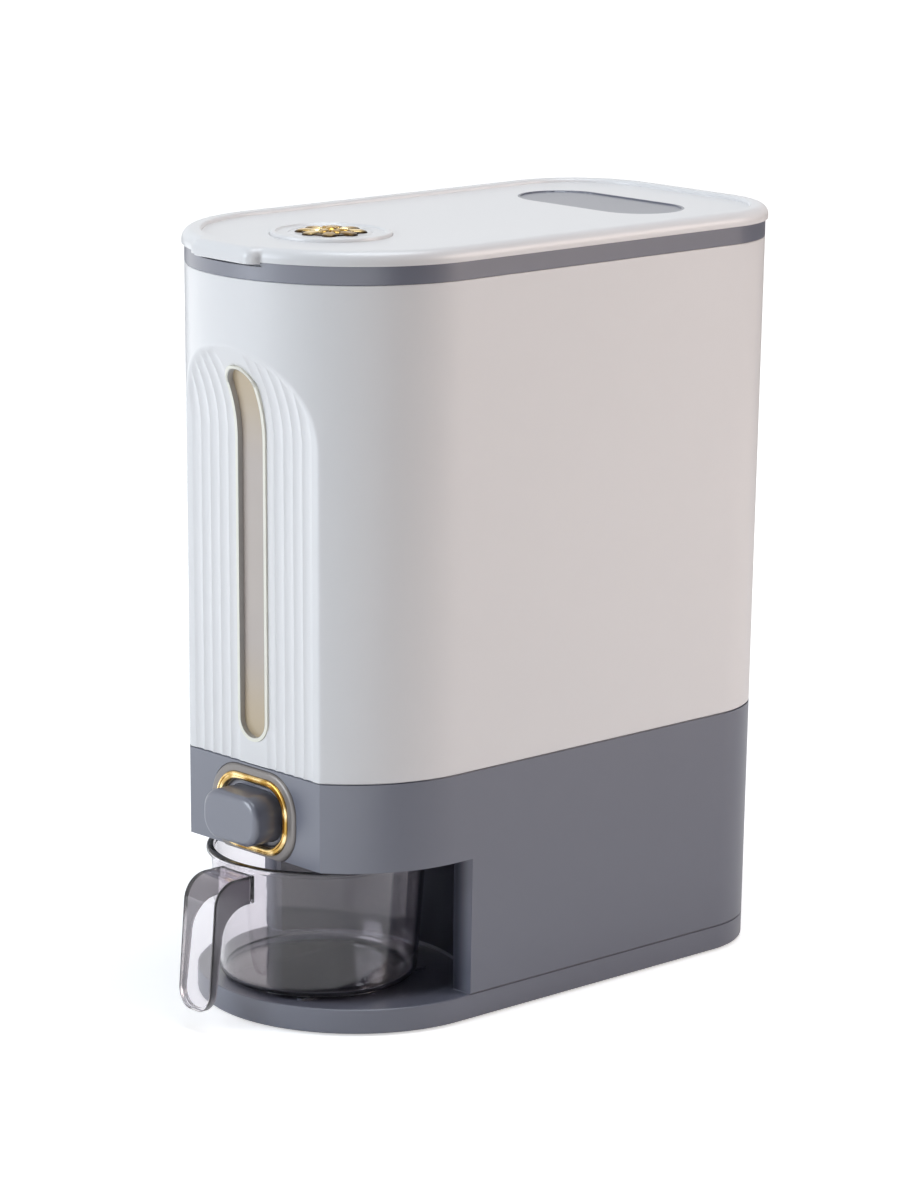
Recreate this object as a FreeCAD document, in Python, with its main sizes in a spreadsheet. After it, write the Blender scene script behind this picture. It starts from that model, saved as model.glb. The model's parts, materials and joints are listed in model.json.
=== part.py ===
import FreeCAD, Part
import math
import os

import Sketcher

# Rice dispenser with a push-button gate and a measuring cup that slides out of a bay.
# Millimetres. +X right, -Y front (the nose), +Z up. The origin is on the floor, at the middle of the
# whole object's box. Every size below is a cell of the spreadsheet "Sizes".

SIZES = {
    # overall form: a tapered tube whose plan has a half-round nose and rounded back corners
    "nose_back": 166.0,        # nose of the body, in front of the origin
    "width": 180.0,            # at the body's top
    "length": 352.4,
    "corner": 56.0,            # radius of the back corners
    "draft_slope": 0.0091,     # the wall leans in by this much per millimetre downwards
    "body_top": 410.3,
    "wall": 2.6,
    # flat front face and the scoop above it
    "face_setback": 17.8,      # face behind the nose at the body's top
    "face_slope": 0.0117,
    "scoop_start": 320.0,
    "scoop_radius": 85.0,
    "scoop_sweep": 52.0,       # degrees
    "scoop_edge": 3.5,         # rounding where the scoop meets the nose
    "front_reach": 60.0,       # how far cutting tools stand in front of the nose
    # foot tray
    "foot_height": 1.0,
    "tray_top": 15.2,
    "tray_setback": 4.65,
    "tray_edge": 2.0,
    "well_radius": 68.5,
    "well_back": 86.0,
    "well_depth": 1.5,
    "runner_width": 4.0,
    "runner_spread": 30.0,
    "runner_front": 28.0,
    "runner_length": 92.0,
    "cell_size": 33.0,
    "cell_pitch": 37.0,
    "cell_depth": 9.0,
    "cell_rows": 6,
    "cell_back": 106.0,
    "pad_radius": 9.0,
    "pad_recess": 0.8,
    "pad_clearance": 0.1,
    "pad_spread": 52.0,
    "pad_front": 52.0,
    "pad_rear": 316.0,
    # cup bay
    "bay_top": 92.5,
    "bay_back": 102.5,
    "bay_recess": 80.0,
    "bay_edge": 1.5,
    "head_top": 142.0,
    "head_edge": 1.2,
    "seam_edge": 0.5,          # chamfers that leave a thin groove between outer pieces
    "head_wall": 2.4,          # housing wall at its foot
    "head_floor": 2.6,
    # screw towers of the housing
    "tower_radius": 6.0,
    "tower_side": 78.5,
    "tower_front": 122.0,
    "tower_rear": 280.0,
    "tower_back": 341.0,
    "tower_middle": 30.0,
    "screw_core": 1.5,
    "screw_head": 3.0,
    "screw_head_height": 2.2,
    "screw_slack": 0.08,
    "screw_sink": 6.0,
    "screw_bite": 14.0,
    "hole_radius": 1.9,
    # deck between base and container
    "deck_thickness": 2.5,
    "deck_gap": 0.15,
    "deck_rim": 2.0,
    "deck_rim_height": 8.0,
    "locate_gap": 0.2,
    "duct_gap": 0.5,
    "overshoot": 1.0,          # how far a cut or a join runs past the face it meets
    # outlet and funnel
    "outlet_half": 28.0,
    "outlet_front": 62.0,
    "outlet_deep": 12.0,
    "neck_wall": 2.0,
    "neck_bottom": 101.2,
    "funnel_base": 146.0,
    "funnel_rise": 184.0,
    "side_spread": 262.0,
    "front_spread": 319.0,
    "rear_spread": 534.0,
    "funnel_drop": 3.0,
    "funnel_gap": 0.15,
    "rib_spread": 45.0,
    "rib_thickness": 2.0,
    "rib_front": 100.0,
    "rib_rear": 343.0,
    # window
    "window_half": 12.3,
    "window_low": 154.7,
    "window_high": 362.3,
    "trim_width": 2.2,
    "trim_proud": 0.6,
    "trim_gap": 0.1,
    "pane_thickness": 1.8,
    "pane_margin": 3.0,
    # flutes of the front face
    "flute_first": 15.0,
    "flute_pitch": 7.5,
    "flute_count": 5,          # valleys on either side of the window
    "flute_half": 3.6,
    "flute_depth": 0.8,
    "flute_margin": 3.0,
    "flute_fade": 1.6,         # how far a valley has left the surface where it ends
    # collar on the shell
    "collar_top": 420.4,
    "collar_skirt": 8.0,
    "collar_bore": 4.8,
    "collar_edge": 0.5,
    # lid
    "lid_top": 428.2,
    "lid_over": 1.5,
    "lid_round": 6.0,
    "lid_rim": 9.5,
    "lid_sink": 2.2,
    "lid_panel": 2.5,
    "lid_rim_wall": 3.0,
    "plug_gap": 0.3,
    "plug_wall": 2.4,
    "plug_low": 411.0,
    "seal_low": 414.0,
    "seal_height": 3.0,
    "seal_depth": 1.0,
    "seal_gap": 0.1,
    "tab_half": 27.0,
    "tab_proud": 4.0,
    "tab_low": 419.3,
    "tab_deep": 16.0,
    "tab_corner": 12.0,
    "tab_blend": 4.0,
    "tab_thin": 1.2,
    "pocket_back": 278.0,
    "pocket_half": 56.0,
    "pocket_radius": 26.0,
    "pocket_depth": 1.6,
    "pocket_sink": 0.7,
    "pocket_border": 1.5,
    # desiccant cap and basket
    "cap_back": 75.0,
    "cap_radius": 33.0,
    "cap_gap": 0.4,
    "cap_seat": 2.2,
    "cap_thickness": 2.0,
    "cap_ring": 2.5,
    "cap_ring_height": 0.9,
    "cap_edge": 0.8,
    "cap_seal_lift": 0.05,
    "cap_skirt_wall": 1.6,
    "cap_skirt_height": 5.0,
    "basket_radius": 28.0,
    "basket_wall": 1.6,
    "basket_flange": 0.9,
    "basket_low": 403.0,
    "vent_count": 10,
    "vent_width": 3.0,
    "vent_inner": 9.0,
    "vent_outer": 22.0,
    "cap_seal_radius": 30.0,
    "cap_seal_half": 0.7,
    "emblem_radius": 20.0,
    "petal_count": 8,
    "petal_half": 5.2,
    "petal_reach": 13.0,
    "petal_height": 2.2,
    # button, ring and sleeve
    "button_height": 114.8,
    "button_front": 3.0,
    "button_half": 22.3,
    "button_tall": 13.8,
    "button_corner": 11.5,
    "button_round": 3.5,
    "button_wall": 2.4,
    "button_rear": 34.0,
    "button_flange": 2.2,
    "button_flange_deep": 2.5,
    "button_travel": 12.0,
    "seat_back": 21.9,
    "ring_half": 29.4,
    "ring_tall": 21.2,
    "ring_front": 18.4,
    "ring_bore_half": 23.6,
    "ring_bore_tall": 15.1,
    "ring_cone": 3.0,
    "cone_corner": 1.0,
    "ring_bead": 1.2,
    "collar_half": 34.5,
    "collar_tall": 25.3,
    "collar_front": 19.6,
    "collar_round": 2.0,
    "collar_flat": 4.0,
    "sleeve_slack": 0.3,
    "sleeve_wall": 2.6,
    "sleeve_rear": 31.2,
    "sleeve_flange": 3.6,
    "sleeve_flange_tall": 2.2,
    "sleeve_flange_deep": 2.0,
    "face_inner": 24.4,
    # gate
    "gate_low": 98.25,
    "gate_thickness": 2.5,
    "gate_half": 35.0,
    "gate_rear": 84.0,
    "upright_half": 20.0,
    "upright_top": 126.0,
    "upright_thickness": 2.5,
    "spring_pin": 4.2,
    "spring_pin_length": 3.0,
    "guide_front": 50.0,
    "guide_rear": 100.0,
    "guide_half": 42.0,
    "guide_base": 3.0,
    "guide_top": 101.0,
    "guide_slack": 0.2,
    "ear_spread": 47.0,
    "ear_radius": 5.0,
    "ear_front": 56.0,
    "ear_rear": 94.0,
    "post_radius": 4.0,
    "retainer_thickness": 2.2,
    "retainer_setback": 2.0,
    "retainer_wall_half": 12.0,
    "retainer_wall": 2.6,
    "retainer_wall_top": 124.0,
    "spring_rear": 56.0,
    "spring_radius": 5.6,
    "spring_wire": 0.6,
    "spring_turns": 5,
    # measuring cup
    "cup_back": 68.0,
    "cup_low": 15.25,
    "cup_foot": 0.5,
    "cup_foot_inner": 45.5,
    "cup_foot_outer": 47.5,
    "cup_corner": 7.0,
    "cup_low_radius": 55.0,
    "cup_high_radius": 59.6,
    "cup_rim": 89.2,
    "cup_wall": 2.2,
    "bead_height": 3.4,
    "bead_out": 2.2,
    "handle_half": 13.0,
    "handle_wall": 2.0,
    "handle_root": 57.8,       # from the cup's axis to where the handle meets the wall
    "handle_reach": 31.9,
    "handle_lean": 4.2,
    "handle_bend": 14.5,
    "handle_top": 84.2,
    "handle_low": 11.0,
    "handle_toe": 2.2,
    "handle_belly": 4.9,
    "handle_knee": 51.0,
    "handle_inner_bend": 18.0,
    "handle_corner": 11.0,
}

doc = FreeCAD.newDocument("rice_dispenser")


class Size:
    """A number kept together with the spreadsheet expression that gives it."""

    def __init__(self, value, text):
        self.value = value
        self.text = text

    def __add__(self, other):
        other = as_size(other)
        return Size(self.value + other.value, f"({self.text} + {other.text})")

    def __sub__(self, other):
        other = as_size(other)
        return Size(self.value - other.value, f"({self.text} - {other.text})")

    def __mul__(self, other):
        other = as_size(other)
        return Size(self.value * other.value, f"({self.text} * {other.text})")

    def __truediv__(self, other):
        other = as_size(other)
        return Size(self.value / other.value, f"({self.text} / {other.text})")

    def __radd__(self, other):
        return as_size(other) + self

    def __rsub__(self, other):
        return as_size(other) - self

    def __rmul__(self, other):
        return as_size(other) * self

    def __rtruediv__(self, other):
        return as_size(other) / self

    def __neg__(self):
        return Size(-self.value, f"(0 - {self.text})")


def as_size(item):
    return item if isinstance(item, Size) else Size(float(item), repr(float(item)))


def root(item):
    return Size(math.sqrt(item.value), f"sqrt({item.text})")


def cosine(item):
    return Size(math.cos(math.radians(item.value)), f"cos({item.text})")


def sine(item):
    return Size(math.sin(math.radians(item.value)), f"sin({item.text})")


class Sheet:
    """The spreadsheet of driving dimensions; its cells are read as attributes."""

    def __init__(self, values):
        cells = doc.addObject("Spreadsheet::Sheet", "Sizes")
        for row, (alias, value) in enumerate(values.items(), start=1):
            cells.set(f"A{row}", alias)
            cells.set(f"B{row}", str(value))
            cells.setAlias(f"B{row}", alias)
        self.values = values

    def __getattr__(self, alias):
        return Size(float(self.values[alias]), f"Sizes.{alias}")


S = Sheet(SIZES)
doc.recompute()
NOSE = -S.nose_back
BACK = NOSE + S.length
TAPER = Size(math.degrees(math.atan(S.draft_slope.value)), f"atan({S.draft_slope.text})")


def inset_at(height):
    """How far the drafted wall stands in from the plan at the body's top."""
    return (S.body_top - height) * S.draft_slope


# ---------------------------------------------------------------- sketches

def bind(feature, path, size):
    """Tie a property to the spreadsheet, or set it where the size is a plain number."""
    feature.setExpression(path, as_size(size).text)


class Arc:
    """The end of an arc in an outline, reached from the point before it."""

    def __init__(self, point, centre, radius, ccw=True):
        self.point = point
        self.centre = centre
        self.radius = radius
        self.ccw = ccw


def number(item):
    return as_size(item).value


def place_along(drawing, edge, end, axis, value):
    """Fix one coordinate, 0 across or 1 up the sketch, of an edge's start, end or centre."""
    if abs(number(value)) < 1e-9:
        drawing.addConstraint(Sketcher.Constraint("PointOnObject", edge, end, axis - 2))
        return
    word = ("DistanceX", "DistanceY")[axis]
    index = drawing.addConstraint(Sketcher.Constraint(word, edge, end, number(value)))
    if isinstance(value, Size):
        bind(drawing, f"Constraints[{index}]", value)


def place_point(drawing, edge, end, point):
    place_along(drawing, edge, end, 0, point[0])
    place_along(drawing, edge, end, 1, point[1])


def draw_outline(drawing, points, closed=True):
    """Draw lines and arcs through the points, each point fixed by its own sizes."""
    ends = []
    spots = [item.point if isinstance(item, Arc) else item for item in points]
    count = len(points) if closed else len(points) - 1
    for step in range(count):
        start = spots[step]
        target = points[(step + 1) % len(points)]
        first = FreeCAD.Vector(number(start[0]), number(start[1]), 0)
        if isinstance(target, Arc):
            last = FreeCAD.Vector(number(target.point[0]), number(target.point[1]), 0)
            centre = FreeCAD.Vector(number(target.centre[0]), number(target.centre[1]), 0)
            low, high = (first, last) if target.ccw else (last, first)
            begin = math.atan2(low.y - centre.y, low.x - centre.x)
            finish = math.atan2(high.y - centre.y, high.x - centre.x)
            if finish <= begin:
                finish += 2 * math.pi
            circle = Part.Circle(centre, FreeCAD.Vector(0, 0, 1), number(target.radius))
            edge = drawing.addGeometry(Part.ArcOfCircle(circle, begin, finish), False)
            axis = 1 if abs(last.x - first.x) > abs(last.y - first.y) else 0
            place_along(drawing, edge, 3, axis, target.centre[axis])
            ends.append((edge, 1, 2) if target.ccw else (edge, 2, 1))
        else:
            last = FreeCAD.Vector(number(target[0]), number(target[1]), 0)
            edge = drawing.addGeometry(Part.LineSegment(first, last), False)
            ends.append((edge, 1, 2))
    for step, (edge, start, finish) in enumerate(ends):
        if step + 1 < len(ends) or closed:
            following = ends[(step + 1) % len(ends)]
            drawing.addConstraint(
                Sketcher.Constraint("Coincident", edge, finish, following[0], following[1]))
        else:
            place_point(drawing, edge, finish, spots[-1])
        place_point(drawing, edge, start, spots[step])


def draw_circle(drawing, x, y, radius):
    centre = FreeCAD.Vector(number(x), number(y), 0)
    circle = Part.Circle(centre, FreeCAD.Vector(0, 0, 1), number(radius))
    edge = drawing.addGeometry(circle, False)
    place_point(drawing, edge, 3, (x, y))
    index = drawing.addConstraint(Sketcher.Constraint("Radius", edge, number(radius)))
    bind(drawing, f"Constraints[{index}]", radius)


PLANES = {"XY": (1, (0, 0, 1)), "XZ": (-1, (0, 1, 0)), "YZ": (1, (1, 0, 0))}


def attach(drawing, body, plane, at):
    drawing.AttachmentSupport = (origin_part(body, plane + "_Plane"), "")
    drawing.MapMode = "FlatFace"
    bind(drawing, ".AttachmentOffset.Base.z", as_size(at) * PLANES[plane][0])
    drawing.Visibility = False


def sketch(body, plane, at, *loops):
    """A sketch on one of the body's origin planes, moved to the coordinate at; each loop is a list
    of points or a circle's (x, y, radius)."""
    drawing = body.newObject("Sketcher::SketchObject", body.Label + "Sketch")
    attach(drawing, body, plane, at)
    for loop in loops:
        if isinstance(loop, tuple):
            draw_circle(drawing, *loop)
        else:
            draw_outline(drawing, loop)
    drawing.Visibility = False
    return drawing


def plan(inset, setback=0, chord=None):
    """The object's plan, inset from its outline at the body's top; chord cuts the nose off flat."""
    radius = S.width / 2 - inset
    middle = NOSE + S.width / 2 + setback
    side = S.width / 2 - S.corner
    corner = S.corner - inset
    start = BACK - S.corner
    rear = [
        (radius, start),
        Arc((side, BACK - inset), (side, start), corner),
        (-side, BACK - inset),
        Arc((-radius, start), (-side, start), corner),
    ]
    if chord is None:
        return [(-radius, middle), Arc((radius, middle), (0, middle), radius)] + rear
    half = root(radius * radius - (middle - chord) * (middle - chord))
    flat = [
        Arc((-half, chord), (0, middle), radius),
        (half, chord),
        Arc((radius, middle), (0, middle), radius),
    ]
    return flat + rear + [(-radius, middle)]


def rounded(x, y, half_width, half_height, radius):
    """A rectangle with round corners about (x, y)."""
    right, left = x + half_width, x - half_width
    top, bottom = y + half_height, y - half_height
    return [
        Arc((left + radius, bottom), (left + radius, bottom + radius), radius),
        (right - radius, bottom),
        Arc((right, bottom + radius), (right - radius, bottom + radius), radius),
        (right, top - radius),
        Arc((right - radius, top), (right - radius, top - radius), radius),
        (left + radius, top),
        Arc((left, top - radius), (left + radius, top - radius), radius),
        (left, bottom + radius),
    ]


def rectangle(left, bottom, right, top):
    return [(left, bottom), (right, bottom), (right, top), (left, top)]


def upright_slot(half_width, low, high):
    """A slot with half-round ends, standing on the sketch's second axis."""
    return [
        Arc((half_width, low + half_width), (0, low + half_width), half_width),
        (half_width, high - half_width),
        Arc((-half_width, high - half_width), (0, high - half_width), half_width),
        (-half_width, low + half_width),
    ]


# ---------------------------------------------------------------- features

def new_body(label):
    body = doc.addObject("PartDesign::Body", label)
    body.Label = label
    return body


def tip_volume(body):
    doc.recompute()
    return body.Tip.Shape.Volume if body.Tip and not body.Tip.Shape.isNull() else 0.0


def prism(kind, body, drawing, length, towards, taper=None):
    """Pad or pocket a sketch along its plane's axis, towards +1 or -1, or 0 for both ways."""
    before = tip_volume(body)
    feature = body.newObject("PartDesign::" + kind, body.Label + kind)
    feature.Profile = drawing
    plane = drawing.AttachmentSupport[0][0].Role[:2]
    natural = PLANES[plane][0] * (1 if kind == "Pad" else -1)
    bind(feature, "Length", length)
    if towards == 0:
        feature.SideType = "Symmetric"
    else:
        feature.Reversed = natural != towards
    if taper is not None:
        bind(feature, "TaperAngle", taper)
    change = tip_volume(body) - before
    if (kind == "Pad") != (change > 0):
        raise RuntimeError(f"{feature.Label} changed the volume by {change:.3f}")
    return feature


def pad(body, drawing, length, towards=1, taper=None):
    return prism("Pad", body, drawing, length, towards, taper)


def pocket(body, drawing, length, towards=-1, taper=None):
    return prism("Pocket", body, drawing, length, towards, taper)


def dress(kind, body, size, wanted):
    """Fillet or chamfer the edges of the tip that the function wanted picks."""
    doc.recompute()
    shape = body.Tip.Shape
    names = [f"Edge{i}" for i, edge in enumerate(shape.Edges, start=1) if wanted(edge)]
    feature = body.newObject("PartDesign::" + kind, body.Label + kind)
    feature.Base = (body.Tip if body.Tip != feature else feature.BaseFeature, names)
    bind(feature, "Radius" if kind == "Fillet" else "Size", size)
    doc.recompute()
    if not feature.isValid():
        raise RuntimeError(f"{feature.Label} failed on {len(names)} edges")
    return feature


def flat_at(height, tolerance=0.01):
    """Picks edges that lie in the horizontal plane at a height."""
    level = number(height)

    def wanted(edge):
        box = edge.BoundBox
        return abs(box.ZMin - level) < tolerance and abs(box.ZMax - level) < tolerance
    return wanted


def flat_at_depth(depth, tolerance=0.01):
    """Picks edges that lie in the upright plane at a depth along Y."""
    level = number(depth)

    def wanted(edge):
        box = edge.BoundBox
        return abs(box.YMin - level) < tolerance and abs(box.YMax - level) < tolerance
    return wanted


def mirror(body, features):
    feature = body.newObject("PartDesign::Mirrored", body.Label + "Mirror")
    feature.Originals = features
    feature.MirrorPlane = (origin_part(body, "YZ_Plane"), [""])
    body.Tip = feature
    doc.recompute()
    return feature


def repeat(body, feature, axis, length, count):
    """Copy a feature along one of the body's axes."""
    pattern = body.newObject("PartDesign::LinearPattern", body.Label + "Row")
    pattern.Originals = [feature]
    pattern.Direction = (origin_part(body, axis), [""])
    bind(pattern, "Length", length)
    bind(pattern, "Occurrences", count)
    body.Tip = pattern
    doc.recompute()


def spread_round(body, features, count):
    """Copy features round the body's upright axis."""
    pattern = body.newObject("PartDesign::PolarPattern", body.Label + "Round")
    pattern.Originals = features
    pattern.Axis = (origin_part(body, "Z_Axis"), [""])
    pattern.Angle = 360
    bind(pattern, "Occurrences", count)
    body.Tip = pattern
    doc.recompute()


def origin_part(body, role):
    return next(item for item in body.Origin.OriginFeatures if item.Role == role)


def shift_body(body, back):
    """Stand the body's own origin at a distance behind the nose."""
    bind(body, ".Placement.Base.y", NOSE + back)


pieces = []


def keep(label, item):
    """Name a finished piece; its label is its node."""
    item.Label = label
    pieces.append(item)
    return item


# ---------------------------------------------------------------- the front's side profile

LEAN = root(1 + S.face_slope * S.face_slope)


def face_y(height, behind=0):
    """Where the flat front face stands, or a surface at a distance behind it."""
    return NOSE + S.face_setback + (S.body_top - height) * S.face_slope + behind * LEAN


SCOOP_Y = face_y(S.scoop_start) - S.scoop_radius / LEAN
SCOOP_Z = S.scoop_start - S.scoop_radius * S.face_slope / LEAN
SCOOP = (SCOOP_Y, SCOOP_Z)


def scoop_foot(behind):
    """Where the face runs into the scoop, for a surface behind the face."""
    reach = S.scoop_radius + behind
    return (SCOOP_Y + reach / LEAN, SCOOP_Z + reach * S.face_slope / LEAN)


def scoop_end(behind):
    reach = S.scoop_radius + behind
    return (SCOOP_Y + reach * cosine(S.scoop_sweep), SCOOP_Z + reach * sine(S.scoop_sweep))


def front_cutter(low, behind):
    """Side profile of all that lies in front of the face and the scoop."""
    ahead = NOSE - S.front_reach
    top = scoop_end(behind)
    return [
        (face_y(low, behind), low),
        scoop_foot(behind),
        Arc(top, SCOOP, S.scoop_radius + behind),
        (ahead, top[1]),
        (ahead, low),
    ]


def front_strip(low, outer, inner):
    """Side profile of a sheet that follows the face and the scoop between two depths."""
    return [
        (face_y(low, outer), low),
        scoop_foot(outer),
        Arc(scoop_end(outer), SCOOP, S.scoop_radius + outer),
        scoop_end(inner),
        Arc(scoop_foot(inner), SCOOP, S.scoop_radius + inner, ccw=False),
        (face_y(low, inner), low),
    ]


def cut_front(body, low, behind):
    return pocket(body, sketch(body, "YZ", 0, front_cutter(low, behind)), S.width * 2, 0)


# ---------------------------------------------------------------- screws

TOWERS = [
    (side * across, NOSE + along)
    for across, along in (
        (S.tower_side, S.tower_front), (S.tower_side, S.tower_rear), (S.tower_middle, S.tower_back))
    for side in (1, -1)
]
EARS = [(side * S.ear_spread, NOSE + along) for along in (S.ear_front, S.ear_rear) for side in (1, -1)]


def lugs():
    """Outlines of the four screw lugs, each run into the plate beside it."""
    outlines = []
    for index, (x, y) in enumerate(EARS):
        turn = S.ear_radius
        inner = x - turn * 2 if index % 2 == 0 else x + turn * 2
        near, far = (y - turn, y + turn) if index % 2 == 0 else (y + turn, y - turn)
        outlines.append([(inner, near), (x, near), Arc((x, far), (x, y), turn), (inner, far)])
    return outlines


def cylinder(name, x, y, low, high, radius):
    item = doc.addObject("Part::Cylinder", name)
    bind(item, "Radius", radius)
    bind(item, "Height", high - low)
    bind(item, ".Placement.Base.x", x)
    bind(item, ".Placement.Base.y", y)
    bind(item, ".Placement.Base.z", low)
    return item


def fuse(name, members):
    item = doc.addObject("Part::MultiFuse", name)
    item.Shapes = members
    return item


def group(label, members):
    item = doc.addObject("Part::Compound", label)
    item.Links = members
    return keep(label, item)


def screws(label, places, seat, point, upwards):
    """Round-headed screws whose heads sit at the height seat, with their tips at the height point."""
    members = []
    for x, y in places:
        if upwards:
            head = cylinder("Head", x, y, seat - S.screw_head_height, seat, S.screw_head)
            core = cylinder("Core", x, y, seat, point, S.screw_core)
        else:
            head = cylinder("Head", x, y, seat, seat + S.screw_head_height, S.screw_head)
            core = cylinder("Core", x, y, point, seat, S.screw_core)
        members.append(fuse("Screw", [head, core]))
    return group(label, members)


# ---------------------------------------------------------------- foot tray

def make_base_plate():
    body = new_body("base_plate")
    outline = plan(inset_at(S.foot_height), S.tray_setback)
    pad(body, sketch(body, "XY", S.foot_height, outline), S.tray_top - S.foot_height, 1, TAPER)
    dress("Fillet", body, S.tray_edge, flat_at(S.foot_height))
    meet = S.well_back - S.cup_back
    reach = S.bay_recess
    corner_y = (reach * reach - S.well_radius * S.well_radius + meet * meet) / (2 * meet)
    corner_x = root(reach * reach - corner_y * corner_y)
    cup_y = NOSE + S.cup_back
    well = [
        Arc((corner_x, cup_y + corner_y), (0, NOSE + S.well_back), S.well_radius),
        Arc((-corner_x, cup_y + corner_y), (0, cup_y), reach),
    ]
    pocket(body, sketch(body, "XY", S.tray_top, well), S.well_depth)
    front = NOSE + S.runner_front
    for side in (1, -1):
        x = side * S.runner_spread
        runner = rectangle(x - S.runner_width / 2, front, x + S.runner_width / 2, front + S.runner_length)
        pad(body, sketch(body, "XY", S.tray_top - S.well_depth, runner), S.well_depth)
    half = S.cell_size / 2
    y = NOSE + S.cell_back
    middles = [n * S.cell_pitch for n in (-1.5, -0.5, 0.5, 1.5)]
    cells = [rectangle(x - half, y - half, x + half, y + half) for x in middles]
    row = pocket(body, sketch(body, "XY", S.foot_height, *cells), S.cell_depth, 1)
    repeat(body, row, "Y_Axis", S.cell_pitch * (S.cell_rows - 1), S.cell_rows)
    pads = [(x, y, S.pad_radius + S.pad_clearance) for x, y in PADS]
    pocket(body, sketch(body, "XY", S.foot_height, *pads), S.pad_recess, 1)
    sinks = [(x, y, S.screw_head + S.locate_gap) for x, y in TOWERS]
    pocket(body, sketch(body, "XY", S.foot_height, *sinks), S.screw_sink, 1)
    holes = [(x, y, S.hole_radius) for x, y in TOWERS]
    pocket(body, sketch(body, "XY", S.foot_height, *holes), S.tray_top, 1)
    keep("base_plate", body)


PADS = [(side * S.pad_spread, NOSE + along) for along in (S.pad_front, S.pad_rear) for side in (1, -1)]


def make_feet():
    high = S.foot_height + S.pad_recess
    group("foot_pads", [cylinder("Foot", x, y, as_size(0), high, S.pad_radius) for x, y in PADS])


# ---------------------------------------------------------------- housing

def bay_outline(behind, ahead):
    """Plan of the cup bay: straight back wall with a round recess about the cup's axis."""
    back = NOSE + S.bay_back + behind
    radius = S.bay_recess + behind
    offset = S.bay_back + behind - S.cup_back
    half = root(radius * radius - offset * offset)
    recess = [(half, back), Arc((-half, back), (0, NOSE + S.cup_back), radius)]
    if ahead:
        side = S.width
        return [(-side, NOSE - S.front_reach), (side, NOSE - S.front_reach), (side, back)] + recess + [
            (-side, back)]
    inset = inset_at(S.tray_top) + S.head_wall
    side = S.width / 2 - inset
    start = BACK - S.corner
    middle = S.width / 2 - S.corner
    return [
        (side, back), (side, start),
        Arc((middle, BACK - inset), (middle, start), S.corner - inset),
        (-middle, BACK - inset),
        Arc((-side, start), (-middle, start), S.corner - inset),
        (-side, back), (-half, back),
        Arc((half, back), (0, NOSE + S.cup_back), radius, ccw=False),
    ]


def make_housing():
    body = new_body("base_housing")
    rise = S.head_top - S.tray_top
    pad(body, sketch(body, "XY", S.tray_top, plan(inset_at(S.tray_top))), rise, 1, TAPER)
    cut_front(body, S.foot_height, 0)
    dress("Chamfer", body, S.seam_edge, flat_at(S.head_top))
    dress("Chamfer", body, S.seam_edge, flat_at(S.tray_top))
    bay = sketch(body, "XY", S.bay_top, bay_outline(0, True))
    pocket(body, bay, S.bay_top - S.tray_top)
    dress("Fillet", body, S.head_edge, head_underside)
    inner = plan(inset_at(S.tray_top) + S.head_wall, 0, NOSE + S.face_inner)
    floor = S.bay_top + S.head_floor
    pocket(body, sketch(body, "XY", S.head_top, inner), S.head_top - floor)
    pocket(body, sketch(body, "XY", floor, bay_outline(S.head_floor, False)), floor - S.tray_top)
    towers = [(x, y, S.tower_radius) for x, y in TOWERS]
    deck = S.head_top - S.deck_thickness
    pad(body, sketch(body, "XY", S.tray_top, *towers), deck - S.tray_top)
    cores = [(x, y, S.screw_core + S.screw_slack) for x, y in TOWERS]
    pocket(body, sketch(body, "XY", S.tray_top, *cores), S.screw_bite, 1)
    pocket(body, sketch(body, "XY", deck, *cores), S.screw_bite)
    posts = [(x, y, S.post_radius) for x, y in EARS]
    pad(body, sketch(body, "XY", floor, *posts), S.guide_base)
    ear_cores = [(x, y, S.screw_core + S.screw_slack) for x, y in EARS]
    pocket(body, sketch(body, "XY", floor + S.guide_base, *ear_cores), S.guide_base + S.head_floor / 2)
    spout = outlet_box(S.neck_wall + S.locate_gap + S.duct_gap)
    pocket(body, sketch(body, "XY", floor, spout), S.head_floor)
    seat = rounded(as_size(0), S.button_height, S.collar_half + S.locate_gap, S.collar_tall + S.locate_gap,
                   S.collar_tall - S.collar_flat)
    ahead = S.front_reach
    pocket(body, sketch(body, "XZ", NOSE - ahead, seat), ahead + S.seat_back, 1)
    hole = sleeve_outline(S.sleeve_wall + S.locate_gap)
    pocket(body, sketch(body, "XZ", NOSE - ahead, hole), ahead + S.face_inner + S.overshoot, 1)
    keep("base_housing", body)


def head_underside(edge):
    """The lower outer edge of the head, in front of the bay's back wall."""
    box = edge.BoundBox
    level = abs(box.ZMin - number(S.bay_top)) < 0.01 and abs(box.ZMax - number(S.bay_top)) < 0.01
    return level and box.YMax < number(NOSE + S.bay_back) + 0.01 and edge.Length > 60


def outlet_box(margin):
    """Plan of the outlet, wider all round by a margin."""
    front = NOSE + S.outlet_front
    half = S.outlet_half + margin
    return rectangle(-half, front - margin, half, front + S.outlet_deep + margin)


def sleeve_outline(margin):
    """Front view of the button's bore, wider all round by a margin."""
    slack = S.sleeve_slack + margin
    return rounded(as_size(0), S.button_height, S.button_half + slack, S.button_tall + slack,
                   S.button_corner + slack)


# ---------------------------------------------------------------- deck and funnel

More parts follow.
